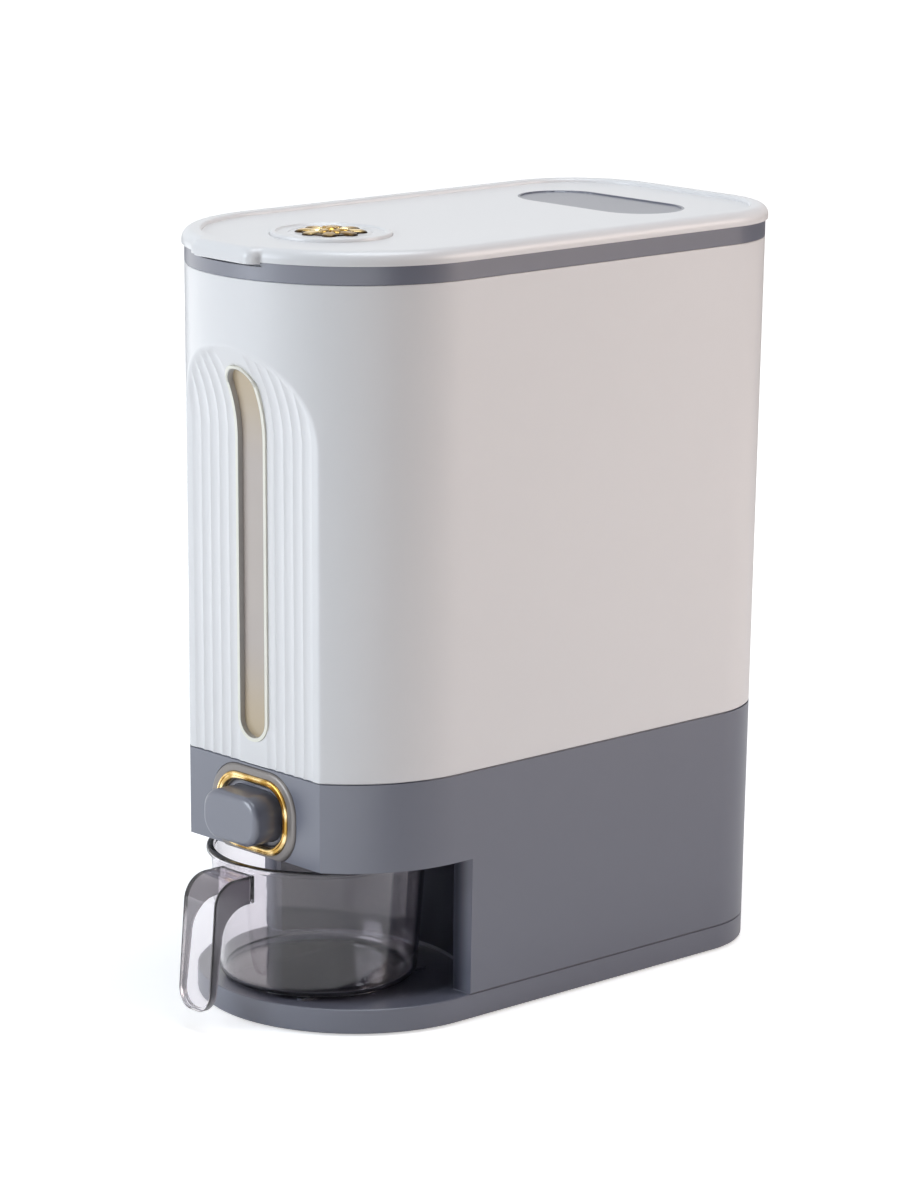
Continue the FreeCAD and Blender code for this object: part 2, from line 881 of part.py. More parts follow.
def make_deck():
    body = new_body("deck_plate")
    low = S.head_top - S.deck_thickness
    inset = inset_at(S.tray_top) + S.head_wall + S.deck_gap
    outline = plan(inset, 0, NOSE + S.face_inner + S.deck_gap)
    pad(body, sketch(body, "XY", low, outline), S.deck_thickness)
    edge = inset_at(S.head_top) + S.wall + S.locate_gap
    chord = face_y(S.head_top, S.wall + S.locate_gap)
    rim = sketch(body, "XY", S.head_top, plan(edge, 0, chord),
                 plan(edge + S.deck_rim, 0, chord + S.deck_rim))
    pad(body, rim, S.deck_rim_height)
    pocket(body, sketch(body, "XY", S.head_top, outlet_box(S.neck_wall + S.locate_gap)), S.deck_thickness)
    holes = [(x, y, S.hole_radius) for x, y in TOWERS]
    pocket(body, sketch(body, "XY", S.head_top, *holes), S.deck_thickness)
    keep("deck_plate", body)


def free_sketch(name, height, loop):
    drawing = doc.addObject("Sketcher::SketchObject", name)
    bind(drawing, ".Placement.Base.z", height)
    draw_outline(drawing, loop)
    drawing.Visibility = False
    return drawing


def hopper_form(name, drop):
    """The four slopes down to the outlet as one solid, lowered by drop."""
    front = NOSE + S.outlet_front
    back = front + S.outlet_deep
    low = rectangle(-S.outlet_half, front, S.outlet_half, back)
    wide = S.outlet_half + S.side_spread
    high = rectangle(-wide, front - S.front_spread, wide, back + S.rear_spread)
    loft = doc.addObject("Part::Loft", name)
    loft.Sections = [
        free_sketch(name + "Low", S.funnel_base - drop, low),
        free_sketch(name + "High", S.funnel_base + S.funnel_rise - drop, high),
    ]
    loft.Solid = True
    loft.Ruled = True
    return loft


def block(name, left, front, low, right, back, high):
    item = doc.addObject("Part::Box", name)
    for key, value in (("Length", right - left), ("Width", back - front), ("Height", high - low)):
        bind(item, key, value)
    for key, value in (("x", left), ("y", front), ("z", low)):
        bind(item, f".Placement.Base.{key}", value)
    return item


def cut(name, base, tool):
    item = doc.addObject("Part::Cut", name)
    item.Base = base
    item.Tool = tool
    return item


def make_funnel():
    mould = new_body("funnel_mould")
    inset = inset_at(S.head_top) + S.wall + S.funnel_gap
    pad(mould, sketch(mould, "XY", S.head_top, plan(inset)), S.funnel_rise, 1, TAPER)
    cut_front(mould, S.foot_height, S.wall + S.funnel_gap)
    inside = hopper_form("Inside", as_size(0))
    slopes = cut("Slopes", hopper_form("Outside", S.funnel_drop), inside)
    ribs = []
    for side in (1, -1):
        x = side * S.rib_spread
        half = S.rib_thickness / 2
        wall = block("RibWall", x - half, NOSE + S.rib_front, S.head_top, x + half, NOSE + S.rib_rear,
                     S.funnel_base + S.funnel_rise - S.funnel_drop)
        ribs.append(cut("Rib", wall, hopper_form("Clear", S.funnel_drop)))
    trimmed = doc.addObject("Part::MultiCommon", "Trimmed")
    trimmed.Shapes = [fuse("Slope", [slopes] + ribs), mould]
    front = NOSE + S.outlet_front
    back = front + S.outlet_deep
    half = S.outlet_half
    thick = S.neck_wall
    high = S.funnel_base
    neck = block("Neck", -half - thick, front - thick, S.neck_bottom, half + thick, back + thick, high)
    bore = block("NeckBore", -half, front, S.neck_bottom - S.overshoot, half, back,
                 high + S.overshoot)
    whole = fuse("Funnel", [trimmed, neck])
    half = S.window_half + S.pane_margin + S.funnel_gap
    behind = face_y(S.window_low, S.wall + S.pane_thickness + S.funnel_gap)
    below = S.window_low - S.pane_margin - S.funnel_gap
    notch = block("WindowNotch", -half, NOSE, below, half, behind, S.window_high)
    hollow = fuse("FunnelSpace", [bore, notch, hopper_form("Open", as_size(0))])
    keep("hopper_funnel", cut("hopper_funnel", whole, hollow))


# ---------------------------------------------------------------- container and window

def make_shell():
    body = new_body("outer_shell")
    rise = S.body_top - S.head_top
    pad(body, sketch(body, "XY", S.head_top, plan(inset_at(S.head_top))), rise, 1, TAPER)
    cut_front(body, S.foot_height, 0)
    dress("Fillet", body, S.scoop_edge, scoop_outline)
    dress("Chamfer", body, S.seam_edge, flat_at(S.head_top))
    hollow_out(body)
    ahead = NOSE - S.front_reach
    slot = sketch(body, "XZ", ahead, upright_slot(S.window_half, S.window_low, S.window_high))
    pocket(body, slot, S.front_reach + S.face_setback * 2, 1)
    flutes = [make_flute(body, step) for step in range(SIZES["flute_count"])]
    mirror(body, flutes)
    keep("outer_shell", body)


def hollow_out(body):
    """Take the hopper's space out of the container, a wall's thickness inside it."""
    core = new_body("shell_core")
    low = S.head_top - S.overshoot
    space = sketch(core, "XY", low, plan(inset_at(low) + S.wall))
    pad(core, space, S.body_top + S.overshoot - low, 1, TAPER)
    cut_front(core, S.foot_height, S.wall)
    before = tip_volume(body)
    hollow = body.newObject("PartDesign::Boolean", "Hollow")
    hollow.Type = "Cut"
    hollow.Group = [core]
    if tip_volume(body) >= before:
        raise RuntimeError("the container was not hollowed")


def scoop_outline(edge):
    """The edges where the nose meets the flat face and the scoop."""
    box = edge.BoundBox
    return box.YMax < number(NOSE) + 26 and box.ZLength > 5


def make_flute(body, step):
    """One valley between two round flutes, swept up the face and into the scoop."""
    x = S.flute_first + step * S.flute_pitch
    low = S.head_top - S.overshoot
    y = face_y(low)
    half, depth = S.flute_half, S.flute_depth
    crown = (half * half + depth * depth) / (2 * depth)
    ahead = y - S.flute_depth * 2
    valley = sketch(body, "XY", low, [
        Arc((x - half, y), (x - half, y + crown), crown, ccw=False),
        (x - half, ahead),
        (x + half, ahead),
        (x + half, y),
        Arc((x, y + depth), (x + half, y + crown), crown, ccw=False),
    ])
    foot = scoop_foot(0)
    radius = S.width / 2 - inset_at(S.scoop_start)
    end_y = NOSE + S.width / 2 - root(radius * radius - x * x) + S.flute_margin
    tighter = S.scoop_radius * (1 - S.flute_fade / (foot[0] - end_y))
    middle = (foot[0] - tighter / LEAN, foot[1] - tighter * S.face_slope / LEAN)
    rise = end_y - middle[0]
    end = (end_y, middle[1] + root(tighter * tighter - rise * rise))
    path = body.newObject("Sketcher::SketchObject", "FlutePath")
    attach(path, body, "YZ", x)
    draw_outline(path, [(y, low), foot, Arc(end, middle, tighter)], closed=False)
    before = tip_volume(body)
    flute = body.newObject("PartDesign::SubtractivePipe", "Flute")
    flute.Profile = valley
    flute.Spine = (path, [])
    if tip_volume(body) >= before:
        raise RuntimeError("a flute cut nothing")
    return flute


def front_sheet(label, low, outer, inner, half_width):
    body = new_body(label)
    pad(body, sketch(body, "YZ", 0, front_strip(low, outer, inner)), half_width * 2, 0)
    return body


def trim_outside(body, half_width, low, high):
    """Leave only what lies inside a slot, seen from the front."""
    ahead = NOSE - S.front_reach
    frame = rectangle(-S.width, low - S.corner, S.width, high + S.corner)
    around = sketch(body, "XZ", ahead, frame, upright_slot(half_width, low, high))
    pocket(body, around, S.front_reach * 2, 1)


def make_window():
    gap = S.trim_gap
    trim = front_sheet("window_trim", S.window_low - 9, -S.trim_proud, S.wall, S.window_half + 4)
    trim_outside(trim, S.window_half - gap, S.window_low + gap, S.window_high - gap)
    inner = S.trim_width
    hole = upright_slot(S.window_half - inner, S.window_low + inner, S.window_high - inner)
    pocket(trim, sketch(trim, "XZ", NOSE - S.front_reach, hole), S.front_reach * 2, 1)
    keep("window_trim", trim)
    inside = S.wall + S.pane_thickness
    margin = S.pane_margin
    pane = front_sheet("window_pane", S.window_low - 9, S.wall, inside, S.window_half + 8)
    trim_outside(pane, S.window_half + margin, S.window_low - margin, S.window_high + margin)
    keep("window_pane", pane)


def make_collar():
    body = new_body("rim_collar")
    skirt_low = S.body_top - S.collar_skirt
    inset = inset_at(skirt_low) + S.wall + S.locate_gap
    pad(body, sketch(body, "XY", skirt_low, plan(inset)), S.collar_skirt + S.overshoot)
    pad(body, sketch(body, "XY", S.body_top, plan(as_size(0))), S.collar_top - S.body_top)
    pocket(body, sketch(body, "XY", S.collar_top, plan(S.collar_bore)), S.collar_top - skirt_low)
    keep("rim_collar", body)


# ---------------------------------------------------------------- lid

def make_lid():
    body = new_body("lid_cover")
    outline = plan(-S.lid_over)
    pad(body, sketch(body, "XY", S.collar_top, outline), S.lid_top - S.collar_top)
    add_tab(body)
    panel = S.lid_top - S.lid_sink
    pocket(body, sketch(body, "XY", S.lid_top, plan(S.lid_rim)), S.lid_sink)
    under = panel - S.lid_panel
    pocket(body, sketch(body, "XY", S.collar_top, plan(S.lid_rim_wall - S.lid_over)), under - S.collar_top, 1)
    plug = S.collar_bore + S.plug_gap
    ring = sketch(body, "XY", S.plug_low, plan(plug), plan(plug + S.plug_wall))
    pad(body, ring, under - S.plug_low + S.trim_gap)
    groove = sketch(body, "XY", S.seal_low, plan(S.collar_bore), plan(plug + S.seal_depth))
    pocket(body, groove, S.seal_height, 1)
    y = NOSE + S.cap_back
    seat = panel - S.cap_seat
    boss = S.cap_radius + S.lid_panel
    low = seat - S.lid_panel
    pad(body, sketch(body, "XY", low, (0, y, boss)), under - low + S.trim_gap)
    pocket(body, sketch(body, "XY", panel, (0, y, S.cap_radius + S.cap_gap)), S.cap_seat)
    hole = sketch(body, "XY", panel, (0, y, S.basket_radius + S.locate_gap))
    pocket(body, hole, S.lid_sink + S.cap_seat + S.lid_panel)
    stadium = lying_slot(S.pocket_half, S.pocket_radius)
    pocket(body, sketch(body, "XY", panel, stadium), S.pocket_depth)
    keep("lid_cover", body)


def lying_slot(half_length, radius):
    """Plan of the slot across the lid near its back."""
    y = NOSE + S.pocket_back
    middle = half_length - radius
    return [
        Arc((-middle, y - radius), (-middle, y), radius),
        (middle, y - radius),
        Arc((middle, y + radius), (middle, y), radius),
        (-middle, y + radius),
    ]


def tab_plan(inwards):
    """Plan of the pull tab at the nose, drawn in by a distance."""
    half = S.tab_half - inwards
    front = NOSE - S.lid_over - S.tab_proud + inwards
    turn = S.tab_corner
    return [
        (-half, front + S.tab_deep),
        (-half, front + turn),
        Arc((-half + turn, front), (-half + turn, front + turn), turn),
        (half - turn, front),
        Arc((half, front + turn), (half - turn, front + turn), turn),
        (half, front + S.tab_deep),
    ]


def add_tab(body):
    """The pull tab, blended into the lid's edge, with a lip that hangs in front of the collar."""
    pad(body, sketch(body, "XY", S.collar_top, tab_plan(as_size(0))), S.lid_top - S.collar_top)
    dress("Fillet", body, S.tab_blend, upright_near_nose)
    dress("Fillet", body, S.lid_round, flat_at(S.lid_top))
    drop = S.collar_top - S.tab_low
    pad(body, sketch(body, "XY", S.tab_low, tab_plan(S.tab_thin)), drop)
    clear = (0, NOSE + S.width / 2, S.width / 2 + S.locate_gap * 2)
    pocket(body, sketch(body, "XY", S.collar_top, clear), drop)


def upright_near_nose(edge):
    """The two upright edges where the tab meets the lid's outline."""
    box = edge.BoundBox
    upright = box.XLength < 0.01 and box.YLength < 0.01
    return upright and box.YMax < number(NOSE + S.tab_corner) and abs(box.XMin) > number(S.tab_half) / 2


def make_seal():
    body = new_body("lid_seal")
    outer = S.collar_bore + S.seal_gap
    inner = S.collar_bore + S.plug_gap + S.seal_depth
    pad(body, sketch(body, "XY", S.seal_low, plan(outer), plan(inner)), S.seal_height)
    keep("lid_seal", body)


def make_pocket():
    body = new_body("lid_pocket")
    panel = S.lid_top - S.lid_sink
    low = panel - S.pocket_depth
    plate = lying_slot(S.pocket_half - S.trim_gap, S.pocket_radius - S.trim_gap)
    pad(body, sketch(body, "XY", low, plate), S.pocket_depth)
    border = S.pocket_border
    dish = lying_slot(S.pocket_half - border, S.pocket_radius - border)
    pocket(body, sketch(body, "XY", panel, dish), S.pocket_sink)
    keep("lid_pocket", body)


# ---------------------------------------------------------------- desiccant cap and basket

SEAT = S.lid_top - S.lid_sink - S.cap_seat


def make_basket():
    body = new_body("desiccant_basket")
    shift_body(body, S.cap_back)
    rise = SEAT - S.basket_low
    pad(body, sketch(body, "XY", S.basket_low, (0, 0, S.basket_radius)), rise)
    flange = S.cap_radius - S.trim_gap
    pad(body, sketch(body, "XY", SEAT, (0, 0, flange)), S.basket_flange)
    top = SEAT + S.basket_flange
    bore = sketch(body, "XY", top, (0, 0, S.basket_radius - S.basket_wall))
    pocket(body, bore, top - S.basket_low - S.basket_wall)
    half = S.vent_width / 2
    vent = rectangle(S.vent_inner, -half, S.vent_outer, half)
    cut_vent = pocket(body, sketch(body, "XY", S.basket_low, vent), S.basket_wall, 1)
    spread_round(body, [cut_vent], S.vent_count)
    keep("desiccant_basket", body)


def make_cap():
    body = new_body("desiccant_cap")
    shift_body(body, S.cap_back)
    low = SEAT + S.basket_flange + S.locate_gap
    top = low + S.cap_thickness
    pad(body, sketch(body, "XY", low, (0, 0, S.cap_radius)), S.cap_thickness)
    dress("Fillet", body, S.cap_edge, flat_at(top))
    outer = S.cap_radius - S.cap_edge
    ring = sketch(body, "XY", top, (0, 0, outer), (0, 0, outer - S.cap_ring))
    pad(body, ring, S.cap_ring_height)
    skirt = S.basket_radius - S.basket_wall - S.cap_gap
    walls = sketch(body, "XY", low, (0, 0, skirt), (0, 0, skirt - S.cap_skirt_wall))
    pad(body, walls, S.cap_skirt_height, -1)
    half = S.cap_seal_half
    groove = (S.cap_seal_radius + half + S.locate_gap, S.cap_seal_radius - half - S.locate_gap)
    pocket(body, sketch(body, "XY", low, *[(0, 0, radius) for radius in groove]), half * 2, 1)
    keep("desiccant_cap", body)
    seal = new_body("cap_seal")
    shift_body(seal, S.cap_back)
    ring = [(0, 0, S.cap_seal_radius + half), (0, 0, S.cap_seal_radius - half)]
    rise = S.locate_gap + half * 2 - S.cap_seal_lift * 2
    pad(seal, sketch(seal, "XY", SEAT + S.basket_flange + S.cap_seal_lift, *ring), rise)
    keep("cap_seal", seal)


def make_emblem():
    body = new_body("cap_emblem")
    shift_body(body, S.cap_back)
    low = SEAT + S.basket_flange + S.locate_gap + S.cap_thickness
    pad(body, sketch(body, "XY", low, (0, 0, S.petal_reach)), S.petal_height / 2)
    reach = S.emblem_radius - S.petal_half
    petal = sketch(body, "XY", low, (reach, 0, S.petal_half))
    leaf = pad(body, petal, S.petal_height)
    spread_round(body, [leaf], S.petal_count)
    pad(body, sketch(body, "XY", low, (0, 0, S.petal_half)), S.petal_height + S.petal_height / 2)
    keep("cap_emblem", body)


# ---------------------------------------------------------------- button and gate

def front_ring(label, front, outer, inner, edge):
    """A ring seated on the face: outer and inner are (half width, half height, corner)."""
    body = new_body(label)
    thick = S.seat_back - front
    around = rounded(as_size(0), S.button_height, *outer)
    pad(body, sketch(body, "XZ", NOSE + front, around), thick, 1)
    dress("Fillet", body, edge, flat_at_depth(NOSE + front))
    bore = rounded(as_size(0), S.button_height, *inner)
    pocket(body, sketch(body, "XZ", NOSE + front, bore), thick, 1)
    return body


def make_bezel():
    ring = (S.ring_half, S.ring_tall, S.ring_tall - S.collar_flat)
    outer = (S.collar_half, S.collar_tall, S.collar_tall - S.collar_flat)
    around = [size + S.trim_gap for size in ring]
    collar = front_ring("bezel_collar", S.collar_front, outer, around, S.collar_round)
    low = rectangle(-S.width, S.head_top - S.width, S.width, S.bay_top + S.trim_gap)
    pocket(collar, sketch(collar, "XZ", NOSE - S.front_reach, low), S.front_reach * 2, 1)
    keep("bezel_collar", collar)
    bore = (S.ring_bore_half, S.ring_bore_tall, S.button_corner + S.cone_corner)
    bezel = front_ring("button_bezel", S.ring_front, ring, bore, S.ring_bead)
    dress("Chamfer", bezel, S.ring_cone, bore_edge(NOSE + S.ring_front))
    keep("button_bezel", bezel)


def bore_edge(depth):
    """Picks the edges round the ring's bore in an upright plane."""
    in_plane = flat_at_depth(depth)
    reach = number(S.ring_bore_half + S.trim_gap)
    top = number(S.button_height + S.ring_bore_tall + S.trim_gap)

    def wanted(edge):
        box = edge.BoundBox
        return in_plane(edge) and -reach < box.XMin and box.XMax < reach and box.ZMax < top
    return wanted


def make_sleeve():
    body = new_body("button_sleeve")
    wall = sleeve_outline(S.sleeve_wall)
    pad(body, sketch(body, "XZ", NOSE + S.seat_back, wall), S.sleeve_rear - S.seat_back, 1)
    slack = S.sleeve_slack + S.sleeve_wall
    flange = rounded(as_size(0), S.button_height, S.button_half + slack + S.sleeve_flange,
                     S.button_tall + slack + S.sleeve_flange_tall, S.button_corner + slack)
    pad(body, sketch(body, "XZ", NOSE + S.face_inner, flange), S.sleeve_flange_deep, 1)
    bore = sleeve_outline(as_size(0))
    pocket(body, sketch(body, "XZ", NOSE + S.seat_back, bore), S.sleeve_rear - S.seat_back, 1)
    keep("button_sleeve", body)


def make_button():
    body = new_body("button_cap")
    sizes = (S.button_half, S.button_tall, S.button_corner)
    outline = rounded(as_size(0), S.button_height, *sizes)
    pad(body, sketch(body, "XZ", NOSE + S.button_front, outline), S.button_rear - S.button_front, 1)
    dress("Fillet", body, S.button_round, flat_at_depth(NOSE + S.button_front))
    flange = rounded(as_size(0), S.button_height, *(size + S.button_flange for size in sizes))
    start = S.button_rear - S.button_flange_deep
    pad(body, sketch(body, "XZ", NOSE + start, flange), S.button_flange_deep, 1)
    hollow = rounded(as_size(0), S.button_height, *(size - S.button_wall for size in sizes))
    depth = S.button_rear - S.button_front - S.button_wall
    pocket(body, sketch(body, "XZ", NOSE + S.button_rear, hollow), depth, -1)
    keep("button_cap", body)


def make_gate():
    body = new_body("gate_slider")
    front = NOSE + S.button_rear
    half = S.gate_half
    window = S.outlet_front - S.button_travel
    opening = rectangle(-S.outlet_half, NOSE + window, S.outlet_half, NOSE + window + S.outlet_deep)
    plate = rectangle(-half, front, half, NOSE + S.gate_rear)
    pad(body, sketch(body, "XY", S.gate_low, plate, opening), S.gate_thickness)
    upright = rectangle(-S.upright_half, S.gate_low, S.upright_half, S.upright_top)
    pad(body, sketch(body, "XZ", front, upright), S.upright_thickness, 1)
    pin = sketch(body, "XZ", front + S.upright_thickness, (0, S.button_height, S.spring_pin))
    pad(body, pin, S.spring_pin_length, 1)
    keep("gate_slider", body)


def make_guide():
    body = new_body("gate_guide")
    floor = S.bay_top + S.head_floor
    base = floor + S.guide_base
    front, rear, half = NOSE + S.guide_front, NOSE + S.guide_rear, S.guide_half
    pad(body, sketch(body, "XY", floor, rectangle(-half, front, half, rear)), S.guide_base)
    inner = S.gate_half + S.guide_slack
    for left, right in ((inner, half), (-half, -inner)):
        pad(body, sketch(body, "XY", base, rectangle(left, front, right, rear)), S.guide_top - base)
    pad(body, sketch(body, "XY", base, *lugs()), S.guide_top - base)
    duct = outlet_box(S.neck_wall + S.duct_gap)
    low = S.bay_top + S.locate_gap
    pad(body, sketch(body, "XY", low, duct), floor - low)
    pocket(body, sketch(body, "XY", base, outlet_box(S.duct_gap)), base - low)
    holes = [(x, y, S.hole_radius) for x, y in EARS]
    pocket(body, sketch(body, "XY", S.guide_top, *holes), S.guide_top - base)
    keep("gate_guide", body)


def make_retainer():
    body = new_body("gate_retainer")
    low, thick = S.guide_top, S.retainer_thickness
    front = NOSE + S.guide_front + S.retainer_setback
    half = S.guide_half
    pad(body, sketch(body, "XY", low, rectangle(-half, front, half, NOSE + S.guide_rear)), thick)
    pad(body, sketch(body, "XY", low, *lugs()), thick)
    hole = outlet_box(S.neck_wall + S.guide_slack)
    pocket(body, sketch(body, "XY", low + thick, hole), thick)
    pocket(body, sketch(body, "XY", low + thick, *[(x, y, S.hole_radius) for x, y in EARS]), thick)
    wall = rectangle(-S.retainer_wall_half, low, S.retainer_wall_half, S.retainer_wall_top)
    pad(body, sketch(body, "XZ", NOSE + S.spring_rear, wall), S.retainer_wall, 1)
    pin = sketch(body, "XZ", NOSE + S.spring_rear, (0, S.button_height, S.spring_pin))
    pad(body, pin, S.spring_pin_length - S.duct_gap, -1)
    keep("gate_retainer", body)


def make_spring():
    front = NOSE + S.button_rear + S.upright_thickness + S.spring_wire
    rear = NOSE + S.spring_rear - S.spring_wire
    helix = doc.addObject("Part::Helix", "SpringLine")
    bind(helix, "Radius", S.spring_radius)
    bind(helix, "Height", rear - front)
    bind(helix, "Pitch", (rear - front) / S.spring_turns)
    helix.Placement.Rotation = FreeCAD.Rotation(FreeCAD.Vector(1, 0, 0), -90)
    bind(helix, ".Placement.Base.y", front)
    bind(helix, ".Placement.Base.z", S.button_height)
    section = doc.addObject("Part::RegularPolygon", "SpringWire")
    section.Polygon = 6
    bind(section, "Circumradius", S.spring_wire)
    bind(section, ".Placement.Base.x", S.spring_radius)
    bind(section, ".Placement.Base.y", front)
    bind(section, ".Placement.Base.z", S.button_height)
    doc.recompute()
    spring = doc.addObject("Part::Sweep", "return_spring")
    spring.Sections = [section]
    spring.Spine = (helix, [f"Edge{i + 1}" for i in range(len(helix.Shape.Edges))])
    spring.Solid = True
    spring.Frenet = True
    keep("return_spring", spring)


# ---------------------------------------------------------------- measuring cup

def make_cup():
    body = new_body("measuring_cup")
    shift_body(body, S.cup_back)
    floor = S.cup_low + S.cup_foot
    turn, wall, rim = S.cup_corner, S.cup_wall, S.cup_rim
    low, high = S.cup_low_radius, S.cup_high_radius
    bead = high + S.bead_out
    profile = sketch(body, "YZ", 0, [
        (0, floor),
        (S.cup_foot_inner, floor),
        (S.cup_foot_inner, S.cup_low),
        (S.cup_foot_outer, S.cup_low),
        (S.cup_foot_outer, floor),
        Arc((low, floor + turn), (low - turn, floor + turn), turn),
        (high, rim - S.bead_height),
        (bead, rim - S.bead_height + S.bead_out / 2),
        (bead, rim - S.bead_out / 2),
        (bead - S.bead_out / 2, rim),
        (high - wall, rim),
        (low - wall, floor + turn),
        Arc((low - turn, floor + wall), (low - turn, floor + turn), turn - wall, ccw=False),
        (0, floor + wall),
    ])
    turned = body.newObject("PartDesign::Revolution", "CupWall")
    turned.Profile = profile
    turned.ReferenceAxis = (origin_part(body, "Z_Axis"), [""])
    turned.Angle = 360
    doc.recompute()
    add_handle(body)
    keep("measuring_cup", body)


def add_handle(body):
    """The hook handle, a channel open towards the cup, drawn from the side about the cup's axis."""
    root_y = -S.handle_root
    front_y = root_y - S.handle_reach
    bend = S.handle_bend
    top, low = S.handle_top, S.handle_low
    web = S.handle_wall
    corner = (front_y + bend + S.handle_lean, top - bend)
    toe = S.handle_toe
    knee = (front_y + toe * 2 + S.handle_belly, S.handle_knee)
    hollow = S.handle_inner_bend
    inner_top = S.handle_knee + hollow
    side = [
        (root_y, top),
        (corner[0], top),
        Arc((front_y + S.handle_lean, corner[1]), corner, bend),
        (front_y, low + toe),
        Arc((front_y + toe * 2, low + toe), (front_y + toe, low + toe), toe),
        knee,
        Arc((knee[0] + hollow, inner_top), (knee[0] + hollow, S.handle_knee), hollow, ccw=False),
        (root_y, inner_top),
    ]
    pad(body, sketch(body, "YZ", 0, side), S.handle_half * 2, 0)
    inner = S.handle_half - web
    turn = S.handle_corner
    base = low + turn
    slope = S.handle_lean / (corner[1] - low - toe)
    foot_y = front_y + web + (base - low - toe) * slope
    channel = [
        (root_y - web, top - web),
        (corner[0], top - web),
        Arc((front_y + S.handle_lean + web, corner[1]), corner, bend - web),
        (foot_y, base),
        (foot_y + toe * 4, base),
        (root_y - web, inner_top - web * 2),
    ]
    pocket(body, sketch(body, "YZ", 0, channel), inner * 2, 0)
    arm = inner - turn + web
    foot = [
        Arc((inner, base), (arm, base), turn - web),
        (-inner, base),
        Arc((-arm, low + web), (-arm, base), turn - web),
        (arm, low + web),
    ]
    pocket(body, sketch(body, "XZ", foot_y + toe * 4, foot), toe * 4, -1)
    outer = S.handle_half
    corner_x = outer - turn
    for side_sign in (1, -1):
        clip = [
            (side_sign * outer, base),
            Arc((side_sign * corner_x, low), (side_sign * corner_x, base), turn, ccw=side_sign < 0),
            (side_sign * corner_x, low - turn),
            (side_sign * (outer + turn), low - turn),
            (side_sign * (outer + turn), base),
        ]
        ahead = front_y - S.handle_reach
        pocket(body, sketch(body, "XZ", ahead, clip), S.handle_reach + toe * 5, 1)


# ---------------------------------------------------------------- everything together

def make_screws():
    seat = S.foot_height + S.screw_sink
    screws("base_screws", TOWERS, seat, S.tray_top + S.screw_bite - 2, True)
    screws("deck_screws", TOWERS, S.head_top, S.head_top - S.deck_thickness - S.screw_bite + 2, False)
    top = S.guide_top + S.retainer_thickness
    screws("guide_screws", EARS, top, S.bay_top + S.head_floor / 2 + S.duct_gap, False)


MAKERS = [
    make_base_plate, make_feet, make_housing, make_deck, make_funnel, make_shell, make_window,
    make_collar, make_lid, make_seal, make_pocket, make_basket, make_cap, make_emblem, make_bezel,
    make_sleeve, make_button, make_gate, make_guide, make_retainer, make_spring, make_cup, make_screws,
]


def check():
    """Stop if any object of the document is in error or any shape is not a valid one."""
    for item in doc.Objects:
        if "Invalid" in item.State or "Error" in item.State:
            raise RuntimeError(f"{item.Label} is {item.State}")
        shape = getattr(item, "Shape", None)
        if shape is not None and item in pieces and (shape.isNull() or not shape.isValid()):
            raise RuntimeError(f"{item.Label} has no valid shape")


def export():
    os.makedirs("parts", exist_ok=True)
    for piece in pieces:
        if not piece.Shape.Solids:
            raise RuntimeError(f"{piece.Label} has no solid")
        piece.Shape.exportStep(f"parts/{piece.Label}.step")
        print(piece.Label, len(piece.Shape.Solids), round(piece.Shape.Volume))


for make in MAKERS:
    make()
doc.recompute()
check()
export()
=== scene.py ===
import json
from math import atan2, cos, degrees, hypot, pi, radians, sin

import bmesh
import bpy
from mathutils import Matrix, Vector


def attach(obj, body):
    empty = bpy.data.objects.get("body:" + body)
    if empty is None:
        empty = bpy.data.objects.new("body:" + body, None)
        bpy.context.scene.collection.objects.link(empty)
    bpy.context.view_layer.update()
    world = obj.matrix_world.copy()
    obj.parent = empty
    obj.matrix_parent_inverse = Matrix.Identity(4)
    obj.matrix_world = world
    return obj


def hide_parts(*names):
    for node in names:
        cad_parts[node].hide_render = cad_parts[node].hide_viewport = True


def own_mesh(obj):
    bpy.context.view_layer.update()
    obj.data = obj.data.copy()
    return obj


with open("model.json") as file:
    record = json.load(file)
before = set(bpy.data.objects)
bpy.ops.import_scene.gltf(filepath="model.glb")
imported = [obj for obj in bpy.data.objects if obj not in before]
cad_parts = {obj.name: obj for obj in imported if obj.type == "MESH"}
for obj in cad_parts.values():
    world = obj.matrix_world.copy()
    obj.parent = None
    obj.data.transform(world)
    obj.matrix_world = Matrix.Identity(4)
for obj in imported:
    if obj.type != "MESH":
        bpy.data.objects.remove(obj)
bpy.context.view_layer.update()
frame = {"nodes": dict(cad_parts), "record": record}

WELD = 0.000002                 # corners nearer than this become one
NOSE = -0.166                   # y of the body's foremost point, at its top
WINDOW_HALF, WINDOW_LOW, WINDOW_HIGH = 0.0123, 0.1547, 0.3623
WINDOW_MIDDLE = (WINDOW_LOW + WINDOW_HIGH) / 2
WINDOW_STRAIGHT = (WINDOW_HIGH - WINDOW_LOW) / 2 - WINDOW_HALF
LID_TOP = 0.4282
LID_PANEL = LID_TOP - 0.0022
CAP_SEAT = LID_PANEL - 0.0022
CAP_LOW = CAP_SEAT + 0.0011
CAP_TOP = CAP_LOW + 0.0020      # where the rosette stands


# -------------------------------- shader arithmetic

